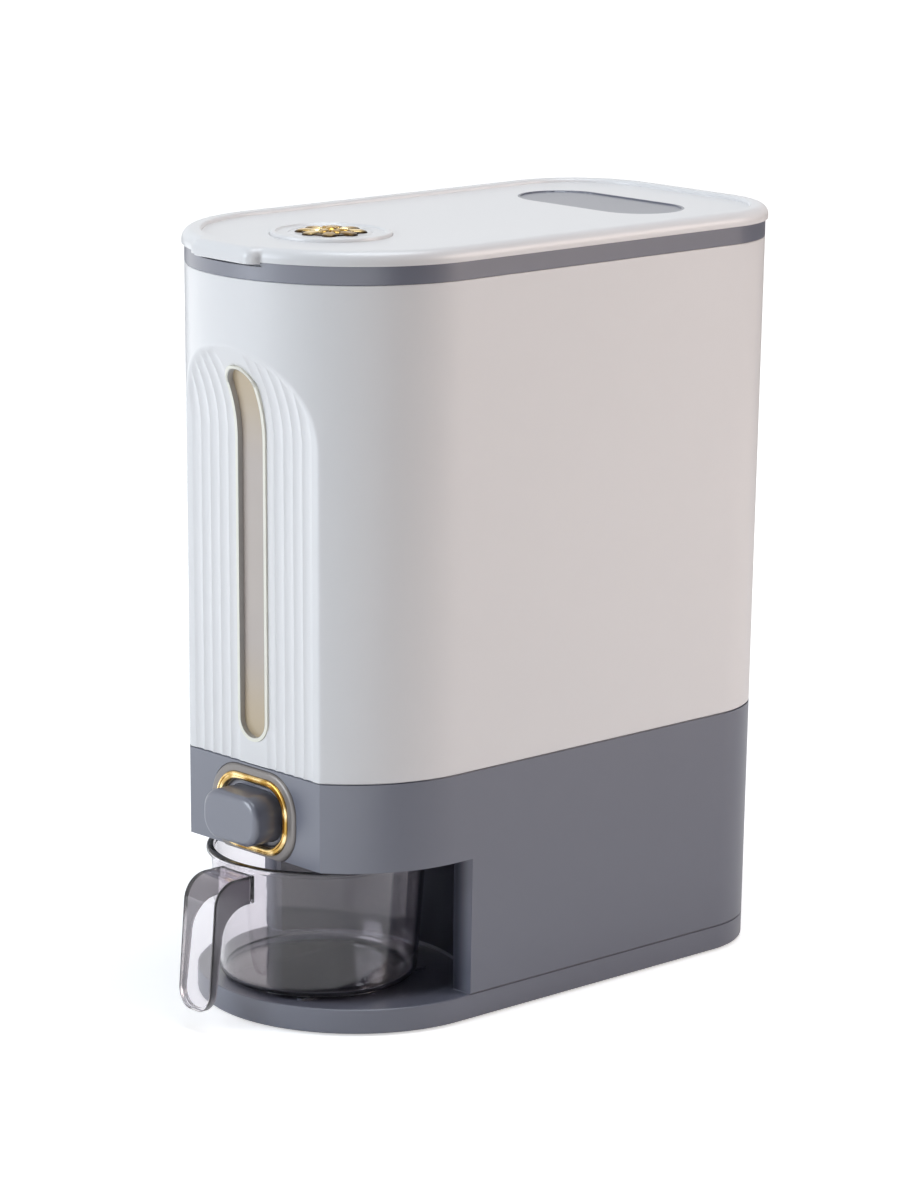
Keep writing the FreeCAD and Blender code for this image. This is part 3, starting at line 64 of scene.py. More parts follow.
class Wire:
    """A shader socket; Python arithmetic on it adds Math nodes."""

    def __init__(self, paint, socket):
        self.paint = paint
        self.socket = socket

    def maths(self, operation, *values):
        return self.paint.node("ShaderNodeMath", {"operation": operation}, *values)

    def __add__(self, other):
        return self.maths("ADD", self, other)

    def __sub__(self, other):
        return self.maths("SUBTRACT", self, other)

    def __rsub__(self, other):
        return self.maths("SUBTRACT", other, self)

    def __mul__(self, other):
        return self.maths("MULTIPLY", self, other)

    def __pow__(self, other):
        return self.maths("POWER", self, other)

    __radd__ = __add__

    def size(self):
        return self.maths("ABSOLUTE", self)

    def most(self, other):
        return self.maths("MAXIMUM", self, other)

    def fade(self, low, high):
        """0 below low, 1 above high, with a soft step between them."""
        settings = {"interpolation_type": "SMOOTHSTEP"}
        return self.paint.node("ShaderNodeMapRange", settings, self, low, high, 0.0, 1.0)


class Paint:
    """One material: its node tree, its surface shader and the sockets that feed it."""

    def __init__(self, name, **constants):
        self.material = bpy.data.materials.new(name)
        self.material.use_nodes = True
        self.tree = self.material.node_tree
        self.surface = self.tree.nodes["Principled BSDF"]
        for socket, value in constants.items():
            self.surface.inputs[socket.replace("_", " ")].default_value = value
        self.place = self.node("ShaderNodeTexCoord", output="Object")
        axes = [self.node("ShaderNodeSeparateXYZ", {}, self.place, output=axis) for axis in "XYZ"]
        self.x, self.y, self.z = axes

    def node(self, kind, settings=None, *values, output=0, **named):
        item = self.tree.nodes.new(kind)
        for key, value in (settings or {}).items():
            setattr(item, key, value)
        for socket, value in [*enumerate(values), *named.items()]:
            self.feed(item.inputs[socket], value)
        return Wire(self, item.outputs[output])

    def feed(self, socket, value):
        if isinstance(value, Wire):
            self.tree.links.new(value.socket, socket)
        else:
            socket.default_value = value

    def noise(self, scale, detail=2.0, roughness=0.5):
        return self.node("ShaderNodeTexNoise", {}, Vector=self.place, Scale=scale, Detail=detail,
                         Roughness=roughness)

    def mix(self, factor, first, second):
        item = self.tree.nodes.new("ShaderNodeMix")
        item.data_type = "RGBA"
        for index, value in ((0, factor), (6, first), (7, second)):
            self.feed(item.inputs[index], value)
        return Wire(self, item.outputs[2])

    def colour(self, value):
        self.feed(self.surface.inputs["Base Color"], value)

    def coat(self, value):
        self.feed(self.surface.inputs["Coat Weight"], value)

    def rough(self, value):
        self.feed(self.surface.inputs["Roughness"], value)

    def bump(self, height, depth):
        normal = self.node("ShaderNodeBump", {}, Strength=1.0, Distance=depth, Height=height)
        self.feed(self.surface.inputs["Normal"], normal)


def tone(red, green, blue):
    return (red, green, blue, 1.0)


def shade(colour, amount):
    return tone(*[channel * amount for channel in colour[:3]])


# -------------------------------- finishes

FLOW_SCALE, MOTTLE_SCALE, GRAIN_SCALE = 9.0, 70.0, 1900.0
BAY_SIDE, BAY_REAR = (0.074, 0.086), (0.010, 0.014)     # where the painted shade in the cup bay ends
BAY_ROOF, BAY_GROUND = (0.0915, 0.0923), (0.0153, 0.0160)
RIM_FRONT = (0.0100, 0.0104)    # from the rim's painted wall shade to its cream front, off the slot's axis
HANDLE_END = (NOSE + 0.0068, NOSE + 0.0080)
HANDLE_CORE, HANDLE_BEND = 0.002, 0.022
HANDLE_SHADE_EDGE = (0.0098, 0.0105)  # from the clear middle to the painted shade at its edge, off the core
# where the painted shade on the cup's rim and on its foot begins and is whole
RIM_SHADE_EDGE, FOOT_SHADE_EDGE = (0.0886, 0.0891), (0.0160, 0.0178)
PANE_END = (0.045, 0.100)       # from beige to tan, off the pane's middle


def grain_on(paint, roughness, depth):
    """Fine spark-eroded grain and soft wear on a moulding; gives its flow marks and its mottling."""
    flow = paint.noise(FLOW_SCALE, 3.0)
    mottle = paint.noise(MOTTLE_SCALE, 2.0)
    grain = paint.noise(GRAIN_SCALE, 3.0, 0.6)
    paint.rough(roughness + (flow - 0.5) * 0.08 + (grain - 0.5) * 0.06)
    paint.bump(grain * 0.8 + mottle * 0.2, depth)
    return flow * 0.6 + mottle * 0.4, mottle


def moulded(name, colour, roughness, depth, variation, **constants):
    """Injection-moulded plastic in one colour."""
    paint = Paint(name, **constants)
    marks, _ = grain_on(paint, roughness, depth)
    paint.colour(paint.mix(marks, shade(colour, 1 - variation), shade(colour, 1 + variation)))
    return paint.material


def white_plastic():
    """The container's and the lid's white, a little glossy."""
    return moulded("white_moulding", tone(0.80, 0.785, 0.785), 0.30, 0.00004, 0.012,
                   Coat_Weight=0.15, Coat_Roughness=0.2)


def slate_plastic():
    """Grey-blue moulding, with painted shade in the cup bay."""
    paint = Paint("slate_moulding", Specular_IOR_Level=0.1, Coat_Roughness=0.30, Coat_IOR=1.95)
    marks, mottle = grain_on(paint, 0.40, 0.00006)
    # Painted shade in the cup bay: this mask is 1 inside it, where the slate turns near-black and loses
    # most of its coat.
    bay_painted_shade = (1 - paint.x.size().fade(*BAY_SIDE)) * (1 - paint.y.fade(*BAY_REAR))
    bay_painted_shade *= (1 - paint.z.fade(*BAY_ROOF)) * paint.z.fade(*BAY_GROUND)
    light = paint.mix(marks, tone(0.122, 0.128, 0.168), tone(0.134, 0.141, 0.184))
    # the near-black slate of the painted shade in the bay
    deep = paint.mix(mottle, tone(0.034, 0.035, 0.050), tone(0.040, 0.042, 0.058))
    paint.colour(paint.mix(bay_painted_shade, light, deep))
    paint.coat(0.8 - bay_painted_shade * 0.78)
    return paint.material


def greige_plastic():
    """The button's surround: a warm grey with a satin metal touch."""
    return moulded("greige_surround", tone(0.24, 0.22, 0.21), 0.34, 0.00003, 0.03, Metallic=0.35)


def cream_plastic():
    """The window's rim: cream in front, with painted shade, a grey, on the walls that run back to the
    pane.
    """
    paint = Paint("cream_window_rim")
    rise = ((paint.z - WINDOW_MIDDLE).size() - WINDOW_STRAIGHT).most(0.0)
    # Painted shade: this mask is 0 on the walls that run back to the pane, which are painted grey, and 1
    # on the cream front.
    front = ((paint.x * paint.x + rise * rise) ** 0.5).fade(*RIM_FRONT)
    mottle = paint.noise(MOTTLE_SCALE, 2.0)
    cream = paint.mix(mottle, tone(0.86, 0.83, 0.72), tone(0.90, 0.87, 0.77))
    paint.colour(paint.mix(front, tone(0.44, 0.43, 0.43), cream))
    paint.rough(0.28 + mottle * 0.06)
    paint.bump(mottle, 0.00002)
    return paint.material


def rubber(name, colour):
    """Matt moulded rubber."""
    return moulded(name, colour, 0.7, 0.0001, 0.06)


def plated_gold():
    """Bright plating over dark bronze, with painted shade near-black in the hollows of the rosette."""
    paint = Paint("plated_gold", Metallic=1.0)
    swirl = paint.noise(95.0, 1.5)
    fine = paint.noise(2400.0, 2.0)
    above = paint.z - CAP_TOP
    # Painted shade in the rosette's hollows: this mask is 1 from the cap's top to about 2 mm above it,
    # where the colour turns near-black.
    hollow = above.fade(-0.0005, 0.0) * (1 - above.fade(0.0006, 0.0021))
    bright = swirl.fade(0.40, 0.62) * (1 - hollow)
    deep = paint.mix(hollow, tone(0.42, 0.25, 0.06), tone(0.035, 0.02, 0.008))
    paint.colour(paint.mix(bright, deep, tone(0.90, 0.71, 0.38)))
    paint.rough(0.16 + swirl * 0.10)
    paint.bump(fine, 0.00002)
    return paint.material


def spring_steel():
    """Drawn and polished steel with faint streaks."""
    paint = Paint("bright_steel", Metallic=1.0)
    streak = paint.noise(700.0, 2.0)
    paint.colour(paint.mix(streak, tone(0.45, 0.45, 0.46), tone(0.62, 0.62, 0.63)))
    paint.rough(0.25 + streak * 0.15)
    paint.bump(streak, 0.00002)
    return paint.material


def smoked_clear():
    """Lightly smoked clear plastic, darker along its edges and its rim, and at its foot: painted shade."""
    paint = Paint("smoked_clear", Transmission_Weight=1.0, IOR=1.46)
    haze = paint.noise(60.0, 2.0)
    handle = 1 - paint.y.fade(*HANDLE_END)
    aside = (paint.x.size() - HANDLE_CORE).most(0.0)
    below = (HANDLE_BEND - paint.z).most(0.0)
    # Painted shade: near-black along the handle's edges, the cup's rim and its foot.
    edge = ((aside * aside + below * below) ** 0.5).fade(*HANDLE_SHADE_EDGE) * handle
    rim = paint.z.fade(*RIM_SHADE_EDGE)
    foot = 1 - paint.z.fade(*FOOT_SHADE_EDGE)
    clear = paint.mix(haze, tone(0.83, 0.80, 0.83), tone(0.86, 0.83, 0.86))
    dark = edge.most(rim).most(foot * (1 - handle))
    paint.colour(paint.mix(dark, clear, tone(0.045, 0.042, 0.048)))
    paint.rough(0.03 + haze * 0.02 + edge * 0.3)
    paint.bump(paint.noise(120.0, 2.0), 0.00003)
    return paint.material


def window_clear():
    """The frosted pane: tan at its ends, a cooler beige between them."""
    paint = Paint("window_clear", IOR=1.46)
    haze = paint.noise(40.0, 2.0)
    far = (paint.z - WINDOW_MIDDLE).size().fade(*PANE_END)
    middle = paint.mix(haze, tone(0.50, 0.435, 0.395), tone(0.54, 0.47, 0.425))
    end = paint.mix(haze, tone(0.53, 0.42, 0.285), tone(0.57, 0.455, 0.31))
    paint.colour(paint.mix(far, middle, end))
    paint.rough(0.20 + haze * 0.06)
    paint.bump(haze, 0.00005)
    return paint.material


FINISHES = {
    "white_plastic": white_plastic(),
    "slate_plastic": slate_plastic(),
    "greige_plastic": greige_plastic(),
    "cream_trim": cream_plastic(),
    "window_clear": window_clear(),
    "smoked_clear": smoked_clear(),
    "gold": plated_gold(),
    "rubber": rubber("foot_rubber", tone(0.05, 0.05, 0.055)),
    "seal_rubber": rubber("seal_rubber", tone(0.55, 0.55, 0.55)),
    "spring_steel": spring_steel(),
}


# -------------------------------- modelling by hand

OVER = 0.01                     # how far a cutter reaches past what it cuts
BITE = 0.0001                   # how far a joined form reaches into its neighbour


def take(*pieces):
    """Select these pieces and nothing else; the first becomes the active one."""
    if bpy.context.object and bpy.context.object.mode != "OBJECT":
        bpy.ops.object.mode_set(mode="OBJECT")
    bpy.ops.object.select_all(action="DESELECT")
    for piece in pieces:
        piece.select_set(True)
    if pieces:
        bpy.context.view_layer.objects.active = pieces[0]


def join(*pieces):
    take(*pieces)
    bpy.ops.object.join()
    return pieces[0]


def alter(piece, kind, **settings):
    """Give a piece a modifier, set it and apply it."""
    take(piece)
    change = piece.modifiers.new(kind.lower(), kind)
    for key, value in settings.items():
        setattr(change, key, value)
    bpy.ops.object.modifier_apply(modifier=change.name)
    return piece


def open_for_edit(piece):
    take(piece)
    bpy.ops.object.mode_set(mode="EDIT")
    bpy.ops.mesh.select_mode(type="VERT")


def begin(name, adder, **options):
    """Add a primitive with nothing else selected, and leave it open for editing."""
    take()
    adder(enter_editmode=True, **options)
    bpy.ops.mesh.select_mode(type="VERT")
    piece = bpy.context.object
    piece.name = name
    piece.data.name = name
    return piece


def pick(piece, kind, wanted):
    """Select the faces, edges or vertices that wanted picks, by their middle and their own form."""
    bpy.ops.mesh.select_mode(type=kind)
    bpy.ops.mesh.select_all(action="DESELECT")
    mesh = bmesh.from_edit_mesh(piece.data)
    found = {"VERT": mesh.verts, "EDGE": mesh.edges, "FACE": mesh.faces}[kind]
    for item in found:
        corners = [item.co] if kind == "VERT" else [corner.co for corner in item.verts]
        if wanted(corners):
            item.select_set(True)
    mesh.select_flush_mode()
    bmesh.update_edit_mesh(piece.data)


def level(axis, value, slack=0.00002):
    """Picks what lies wholly at a value on an axis, 0 to 2."""
    return lambda corners: all(abs(corner[axis] - value) < slack for corner in corners)


def move(x=0.0, y=0.0, z=0.0):
    bpy.ops.transform.translate(value=(x, y, z))


def extrude(x=0.0, y=0.0, z=0.0):
    bpy.ops.mesh.extrude_region_move(TRANSFORM_OT_translate={"value": (x, y, z)})


def inset(amount):
    bpy.ops.mesh.inset(thickness=amount, use_boundary=True, use_even_offset=True)


def round_off(amount, steps):
    bpy.ops.mesh.bevel(offset=amount, segments=steps, affect="EDGES", offset_type="OFFSET")


def arc(centre, radius, start, stop, steps):
    """Points on an arc in a plane, from one angle to another in degrees."""
    angles = [radians(start + (stop - start) * index / steps) for index in range(steps + 1)]
    return [(centre[0] + radius * cos(angle), centre[1] + radius * sin(angle)) for angle in angles]


def draw(name, points, closed=True):
    """Draw an outline by extruding one vertex from point to point; a closed one is filled."""
    piece = begin(name, bpy.ops.mesh.primitive_plane_add, size=0.001, location=points[0])
    bpy.ops.mesh.merge(type="CENTER")
    path = [Vector(point) for point in points] + ([Vector(points[0])] if closed else [])
    for here, after in zip(path, path[1:]):
        bpy.ops.mesh.extrude_vertices_move(TRANSFORM_OT_translate={"value": after - here})
    bpy.ops.mesh.select_all(action="SELECT")
    bpy.ops.object.mode_set(mode="OBJECT")
    bpy.ops.object.transform_apply(location=True, rotation=True, scale=True)
    bpy.ops.object.mode_set(mode="EDIT")
    bpy.ops.mesh.remove_doubles(threshold=WELD)
    if closed:
        bpy.ops.mesh.edge_face_add()
    return piece


def close(piece):
    """Weld the mesh, turn its faces outwards and put its place in its mesh."""
    bpy.ops.mesh.select_all(action="SELECT")
    bpy.ops.mesh.remove_doubles(threshold=WELD)
    bpy.ops.mesh.normals_make_consistent(inside=False)
    bpy.ops.object.mode_set(mode="OBJECT")
    bpy.ops.object.transform_apply(location=True, rotation=True, scale=True)
    return piece


def smooth(piece, angle):
    """Shade a piece smooth up to an angle, with the large faces kept flat."""
    take(piece)
    bpy.ops.object.shade_smooth_by_angle(angle=radians(angle))
    alter(piece, "WEIGHTED_NORMAL", keep_sharp=True)


def lathe(name, profile, centre, steps):
    """Spin a profile of (radius, height) points round an upright axis."""
    x, y = centre
    piece = draw(name, [(x + radius, y, height) for radius, height in profile], closed=False)
    bpy.ops.mesh.select_all(action="SELECT")
    bpy.ops.mesh.spin(steps=steps, angle=2 * pi, center=(x, y, 0), axis=(0, 0, 1))
    return close(piece)


def slab(name, outline, axis, low, high):
    """A prism: an outline of flat points raised along an axis, 0 to 2."""
    places = []
    for first, second in outline:
        place = [first, second]
        place.insert(axis, low)
        places.append(place)
    piece = draw(name, places)
    step = [0.0, 0.0, 0.0]
    step[axis] = high - low
    extrude(*step)
    return close(piece)


def wrap(name, levels):
    """A grid wrapped round level outlines of equal count, given as (outline, height), and filled."""
    columns, rows = len(levels[0][0]), len(levels) - 1
    piece = begin(name, bpy.ops.mesh.primitive_grid_add, x_subdivisions=columns,
                  y_subdivisions=rows, size=1.0)
    mesh = bmesh.from_edit_mesh(piece.data)
    for corner in mesh.verts:
        outline, height = levels[round((corner.co.y + 0.5) * rows)]
        x, y = outline[round((corner.co.x + 0.5) * columns) % columns]
        corner.co = (x, y, height)
    bmesh.update_edit_mesh(piece.data)
    bpy.ops.mesh.select_all(action="SELECT")
    bpy.ops.mesh.remove_doubles(threshold=WELD)     # the grid's first and last columns meet
    for height in (levels[0][1], levels[-1][1]):
        pick(piece, "EDGE", level(2, height))
        bpy.ops.mesh.edge_face_add()
    return close(piece)


def carve(piece, tool, operation="DIFFERENCE"):
    """Cut, join or trim a piece with another, which is then gone."""
    alter(piece, "BOOLEAN", operation=operation, solver="EXACT", object=tool)
    bpy.data.objects.remove(tool)
    return piece


def soften(piece, width, steps, angle):
    """Round every edge that is sharper than an angle."""
    alter(piece, "BEVEL", width=width, segments=steps, limit_method="ANGLE",
          angle_limit=radians(angle), harden_normals=False)


def box(name, middle, size):
    """A block for cutting with."""
    piece = begin(name, bpy.ops.mesh.primitive_cube_add, size=1.0)
    bpy.ops.transform.resize(value=size)
    move(*middle)
    return close(piece)


def repeat(piece, step, count):
    """Copy a piece in a row."""
    alter(piece, "ARRAY", count=count, use_relative_offset=False, use_constant_offset=True,
          constant_offset_displace=step)


def ring_of(centre, radius, steps=96):
    return arc(centre, radius, 0, 360 * (1 - 1 / steps), steps - 1)


def pins(places, radius, low, high):
    """One piece of upright round pins."""
    return join(*[slab("pin", ring_of(place, radius, 32), 2, low, high) for place in places])


def dress(piece, body, slot, *nodes, angle=30):
    """Weld and shade a piece, and give it its finish, its body and the nodes it stands for."""
    open_for_edit(piece)
    close(piece)
    smooth(piece, angle)
    piece.data.materials.clear()
    piece.data.materials.append(FINISHES[slot])
    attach(piece, body)
    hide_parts(*nodes)


def refine(name, body, slot):
    """A welded and smoothly shaded copy of a node, which then stands for it."""
    piece = bpy.data.objects.new(name + "_skin", frame["nodes"][name].data.copy())
    bpy.context.scene.collection.objects.link(piece)
    dress(piece, body, slot, name)


# -------------------------------- measuring cup

CUP_AXIS = (0.0, NOSE + 0.068)
CUP_FLOOR, CUP_RIM = 0.01575, 0.0892
CUP_LOW_RADIUS, CUP_HIGH_RADIUS = 0.0550, 0.0596
CUP_WALL, CUP_CORNER = 0.0022, 0.007
CUP_FOOT = (0.0455, 0.0475, 0.0005)     # radii and height of the ring that it stands on
CUP_LIP, CUP_BEAD = 0.0022, 0.0012      # how far the lip stands out, and its roundness


def make_cup():
    """The cup's bowl, turned: a ring to stand on, a round corner, and a lip at its rim."""
    wall, base, rim, high = CUP_WALL, CUP_FLOOR, CUP_RIM, CUP_HIGH_RADIUS
    middle = (CUP_LOW_RADIUS - CUP_CORNER, base + CUP_CORNER)
    inner, outer, foot = CUP_FOOT
    lip = high + CUP_LIP
    profile = [(0, base), (inner, base), (inner, base - foot), (outer, base - foot), (outer, base)]
    profile += arc(middle, CUP_CORNER, 270, 360, 8)
    profile += [(high - 0.0003, rim - 0.0040), (high, rim - 0.0034), (lip, rim - 0.0024)]
    profile += arc((lip - CUP_BEAD, rim - CUP_BEAD), CUP_BEAD, 0, 90, 4)
    profile += [(high - wall + 0.0008, rim), (high - wall, rim - 0.0008)]
    profile += arc(middle, CUP_CORNER - wall, 360, 270, 8) + [(0, base + wall)]
    dress(lathe("cup_bowl", profile, CUP_AXIS, 160), "cup", "smoked_clear", "measuring_cup")


HANDLE_HALF, HANDLE_WALL = 0.013, 0.002
HANDLE_TOP, HANDLE_LOW, HANDLE_CORNER = 0.0842, 0.011, 0.0125
HANDLE_ROOT = NOSE + 0.0102             # where its arm meets the bowl
HANDLE_FRONT = NOSE - 0.0217
ARM_BELOW = 0.0690
ELBOW, ELBOW_RADIUS = (NOSE - 0.0030, 0.0697), 0.0145
ARMPIT, ARMPIT_RADIUS = (NOSE + 0.0055, 0.0510), 0.0180
TOE, TOE_RADIUS = (NOSE - 0.0195, 0.0132), 0.0022


def side_view(inwards):
    """Side view of the hook handle as (y, z), shrunk inwards by a wall's thickness."""
    root = HANDLE_ROOT - inwards
    outer = arc(ELBOW, ELBOW_RADIUS - inwards, 90, 180, 10)
    if inwards:
        foot = HANDLE_LOW - 0.004
        toe, inner = [(HANDLE_FRONT + inwards, foot), (NOSE + 0.010, foot)], [(root, 0.060)]
    else:
        toe, inner = arc(TOE, TOE_RADIUS, 180, 360, 8), arc(ARMPIT, ARMPIT_RADIUS, 180, 90, 10)
    return [(root, HANDLE_TOP - inwards)] + outer + toe + inner + [(root, ARM_BELOW - inwards)]


def front_view(inwards):
    """Front view of the handle as (x, z): straight sides and a round foot."""
    half, turn, low = HANDLE_HALF - inwards, HANDLE_CORNER - inwards, HANDLE_LOW + inwards
    right = arc((half - turn, low + turn), turn, 270, 360, 20)
    left = arc((turn - half, low + turn), turn, 180, 270, 20)
    return left + right + [(half, CUP_RIM), (-half, CUP_RIM)]


def handle_form(inwards):
    """What the side view and the front view have in common."""
    half = HANDLE_HALF - inwards
    form = slab("cup_handle", side_view(inwards), 0, -half, half)
    return carve(form, slab("trim", front_view(inwards), 1, NOSE - 0.030, NOSE + 0.030), "INTERSECT")


def make_handle():
    """The hollow hook handle."""
    handle = carve(handle_form(0.0), handle_form(HANDLE_WALL))
    soften(handle, 0.0008, 3, 45)
    dress(handle, "cup", "smoked_clear", "measuring_cup")


# -------------------------------- push button and its ring

BUTTON_HEIGHT = 0.1148
BUTTON_FRONT, BUTTON_REAR = NOSE + 0.0030, NOSE + 0.0340
BUTTON = (0.0223, 0.0138, 0.0115)       # half length, half height and corner
BUTTON_ROUND = 0.0034
FLANGE_WIDTH, FLANGE = 0.0022, 0.0025
DISH_IN, DISH_DEPTH = 0.0012, 0.00012
RING = (0.0294, 0.0212, 0.0172)
RING_BORE = (0.0254, 0.0171, 0.0140)
RING_FRONT, RING_SEAT = NOSE + 0.0184, NOSE + 0.0219
RING_ROUND = 0.0012
RING_LINE, RING_SUNK = 0.00035, 0.0006  # the channel round the ring's front


def rounded(form, grow=0.0, steps=12):
    """A rounded rectangle about the button's middle, as (x, z)."""
    half, tall, turn = [size + grow for size in form]
    corners = [(half - turn, turn - tall, 270), (half - turn, tall - turn, 0),
               (turn - half, tall - turn, 90), (turn - half, turn - tall, 180)]
    points = []
    for x, z, start in corners:
        points += arc((x, BUTTON_HEIGHT + z), turn, start, start + 90, steps)
    return points


def make_button():
    """The cap of the push button: a rounded block with a faint dish, on a flange."""
    shoulder = BUTTON_REAR - FLANGE
    cap = slab("push_button", rounded(BUTTON, FLANGE_WIDTH), 1, shoulder, BUTTON_REAR)
    open_for_edit(cap)
    pick(cap, "FACE", level(1, shoulder))
    inset(FLANGE_WIDTH)
    extrude(y=BUTTON_FRONT - shoulder)
    pick(cap, "EDGE", level(1, BUTTON_FRONT))
    round_off(BUTTON_ROUND, 8)
    pick(cap, "FACE", level(1, BUTTON_FRONT))
    inset(DISH_IN)
    move(y=DISH_DEPTH)
    close(cap)
    dress(cap, "button", "slate_plastic", "button_cap", angle=40)


def on_outline(corner, form, slack=0.00005):
    """True where a corner lies on a rounded rectangle about the button's middle."""
    half, tall, turn = form
    x, z = abs(corner.x), abs(corner.z - BUTTON_HEIGHT)
    if x <= half - turn:
        return abs(z - tall) < slack
    if z <= tall - turn:
        return abs(x - half) < slack
    return abs(hypot(x - half + turn, z - tall + turn) - turn) < slack


def make_ring():
    """The plated ring round the button, rounded towards it and outwards, with a channel between."""
    ring = slab("button_ring", rounded(RING), 1, RING_FRONT, RING_SEAT)
    carve(ring, slab("bore", rounded(RING_BORE), 1, RING_FRONT - OVER, RING_SEAT + OVER))
    open_for_edit(ring)
    at_front = level(1, RING_FRONT)
    for form, steps in ((RING_BORE, 3), (RING, 6)):
        pick(ring, "EDGE", lambda corners: at_front(corners) and all(
            on_outline(corner, form) for corner in corners))
        round_off(RING_ROUND, steps)
    pick(ring, "FACE", at_front)
    inset(RING_LINE)
    extrude(y=RING_SUNK)
    close(ring)
    dress(ring, "dispenser", "gold", "button_bezel", angle=35)


# -------------------------------- lid and cap

WIDTH, LENGTH, CORNER = 0.180, 0.3524, 0.056
PLAN_NOSE = 97                  # points round the nose
COLLAR_TOP = 0.4204
LID_UNDER = LID_PANEL - 0.0025
LID_WALL = 0.0030
LID_OVER = 0.0015               # how far it stands out over the collar
LID_RIM = 0.0095                # how far inside the plan its raised rim ends
LID_ROUND, RIM_ROUND = 0.0058, 0.0018
PLUG_IN, PLUG_WALL, PLUG_LOW = 0.0051, 0.0024, 0.411
GROOVE_IN, GROOVE_LOW, GROOVE_HIGH = 0.001, 0.414, 0.417
POCKET = (0.056, 0.026, 0.278)  # half length, end radius and distance behind the nose
POCKET_DEPTH = 0.0016
CAP_AXIS = (0.0, NOSE + 0.075)
CAP_RADIUS, CAP_GAP, CAP_BOSS = 0.033, 0.0004, 0.0025
BASKET_RADIUS, BASKET_GAP = 0.028, 0.0002
TAB_HALF, TAB_PROUD, TAB_CORNER, TAB_BLEND = 0.027, 0.0024, 0.008, 0.002
LIP_IN, LIP_LOW, LIP_GAP = 0.0012, 0.4193, 0.0004


def plan(inwards, steps=32, setback=0.0):
    """The body's plan at its top, moved inwards: a half-round nose and rounded back corners."""
    half = WIDTH / 2 - inwards
    turn = CORNER - inwards
    back = NOSE + LENGTH - CORNER
    nose = arc((0, NOSE + WIDTH / 2 + setback), half, 180, 360, PLAN_NOSE - 1)
    right = arc((WIDTH / 2 - CORNER, back), turn, 0, 90, steps)
    left = arc((CORNER - WIDTH / 2, back), turn, 90, 180, steps)
    return nose + right + left


def depth_in(corner):
    """How far inside the plan's outline a point lies."""
    x, nose, back = abs(corner.x), NOSE + WIDTH / 2, NOSE + LENGTH - CORNER
    if corner.y < nose:
        return WIDTH / 2 - hypot(x, corner.y - nose)
    if corner.y < back:
        return WIDTH / 2 - x
    if x < WIDTH / 2 - CORNER:
        return NOSE + LENGTH - corner.y
    return CORNER - hypot(x - WIDTH / 2 + CORNER, corner.y - back)


def rim_at(height, near, far):
    """Picks edges at a height whose ends lie between two distances inside the plan."""
    at_height = level(2, height)
    return lambda corners: at_height(corners) and all(near < depth_in(corner) < far for corner in corners)


def stadium(half_length, radius, back):
    reach, y = half_length - radius, NOSE + back
    return arc((reach, y), radius, -90, 90, 24) + arc((-reach, y), radius, 90, 270, 24)


def bend(centre, radius, start, stop, steps):
    """Points round a centre from one point's direction to another's, the short way."""
    first = atan2(start[1] - centre[1], start[0] - centre[0])
    turn = atan2(stop[1] - centre[1], stop[0] - centre[0]) - first
    turn = (turn + pi) % (2 * pi) - pi
    return arc(centre, radius, degrees(first), degrees(first + turn), steps)


def nose_with_tab():
    """The lid's nose from left to right, with the pull tab blended into it."""
    middle, reach = NOSE + WIDTH / 2, WIDTH / 2 + LID_OVER
    front, turn, blend = NOSE - LID_OVER - TAB_PROUD, TAB_CORNER, TAB_BLEND
    tip = Vector((TAB_HALF - turn, front + turn))
    nose = Vector((0, middle))
    apart = (tip - nose).length
    along = ((reach + blend) ** 2 - (turn + blend) ** 2 + apart ** 2) / (2 * apart)
    aside = ((reach + blend) ** 2 - along ** 2) ** 0.5
    ahead = (tip - nose) / apart
    web = nose + ahead * along + Vector((-ahead.y, ahead.x)) * aside
    right = arc(tip, turn, 270, degrees(atan2(web.y - tip.y, web.x - tip.x)) + 360, 8)
    right += bend(web, blend, tip, nose, 6)
    right += bend(nose, reach, web, (1, middle), 60)
    return [(-x, y) for x, y in reversed(right)] + right


def make_lid():
    """The lid: a raised rim round its panel, a plug with a seal's groove, and seats for its fittings."""
    outline = nose_with_tab() + plan(-LID_OVER)[PLAN_NOSE:]
    lid = slab("lid_top", outline, 2, COLLAR_TOP, LID_TOP)
    open_for_edit(lid)
    pick(lid, "EDGE", level(2, LID_TOP))
    round_off(LID_ROUND, 12)
    close(lid)
    carve(lid, slab("panel", plan(LID_RIM), 2, LID_PANEL, LID_TOP + OVER))
    open_for_edit(lid)
    pick(lid, "EDGE", rim_at(LID_TOP, LID_RIM - BITE, LID_RIM + BITE))
    round_off(RIM_ROUND, 6)
    close(lid)
    carve(lid, slab("room", plan(LID_WALL - LID_OVER), 2, COLLAR_TOP - OVER, LID_UNDER))
    plug = slab("plug", plan(PLUG_IN), 2, PLUG_LOW, LID_UNDER + BITE)
    carve(plug, slab("plug_room", plan(PLUG_IN + PLUG_WALL), 2, PLUG_LOW - OVER, LID_UNDER + OVER))
    groove = slab("groove", plan(0), 2, GROOVE_LOW, GROOVE_HIGH)
    carve(groove, slab("groove_core", plan(PLUG_IN + GROOVE_IN), 2, PLUG_LOW, LID_UNDER))
    carve(plug, groove)
    carve(lid, plug, "UNION")
    boss = ring_of(CAP_AXIS, CAP_RADIUS + CAP_BOSS)
    carve(lid, slab("boss", boss, 2, CAP_SEAT - CAP_BOSS, LID_UNDER + BITE), "UNION")
    for name, outline, low in (("seat", ring_of(CAP_AXIS, CAP_RADIUS + CAP_GAP), CAP_SEAT),
                               ("well", ring_of(CAP_AXIS, BASKET_RADIUS + BASKET_GAP), PLUG_LOW - OVER),
                               ("pocket", stadium(*POCKET), LID_PANEL - POCKET_DEPTH)):
        carve(lid, slab(name, outline, 2, low, LID_TOP + OVER))
    carve(lid, make_lip(), "UNION")
    dress(lid, "lid", "white_plastic", "lid_cover")


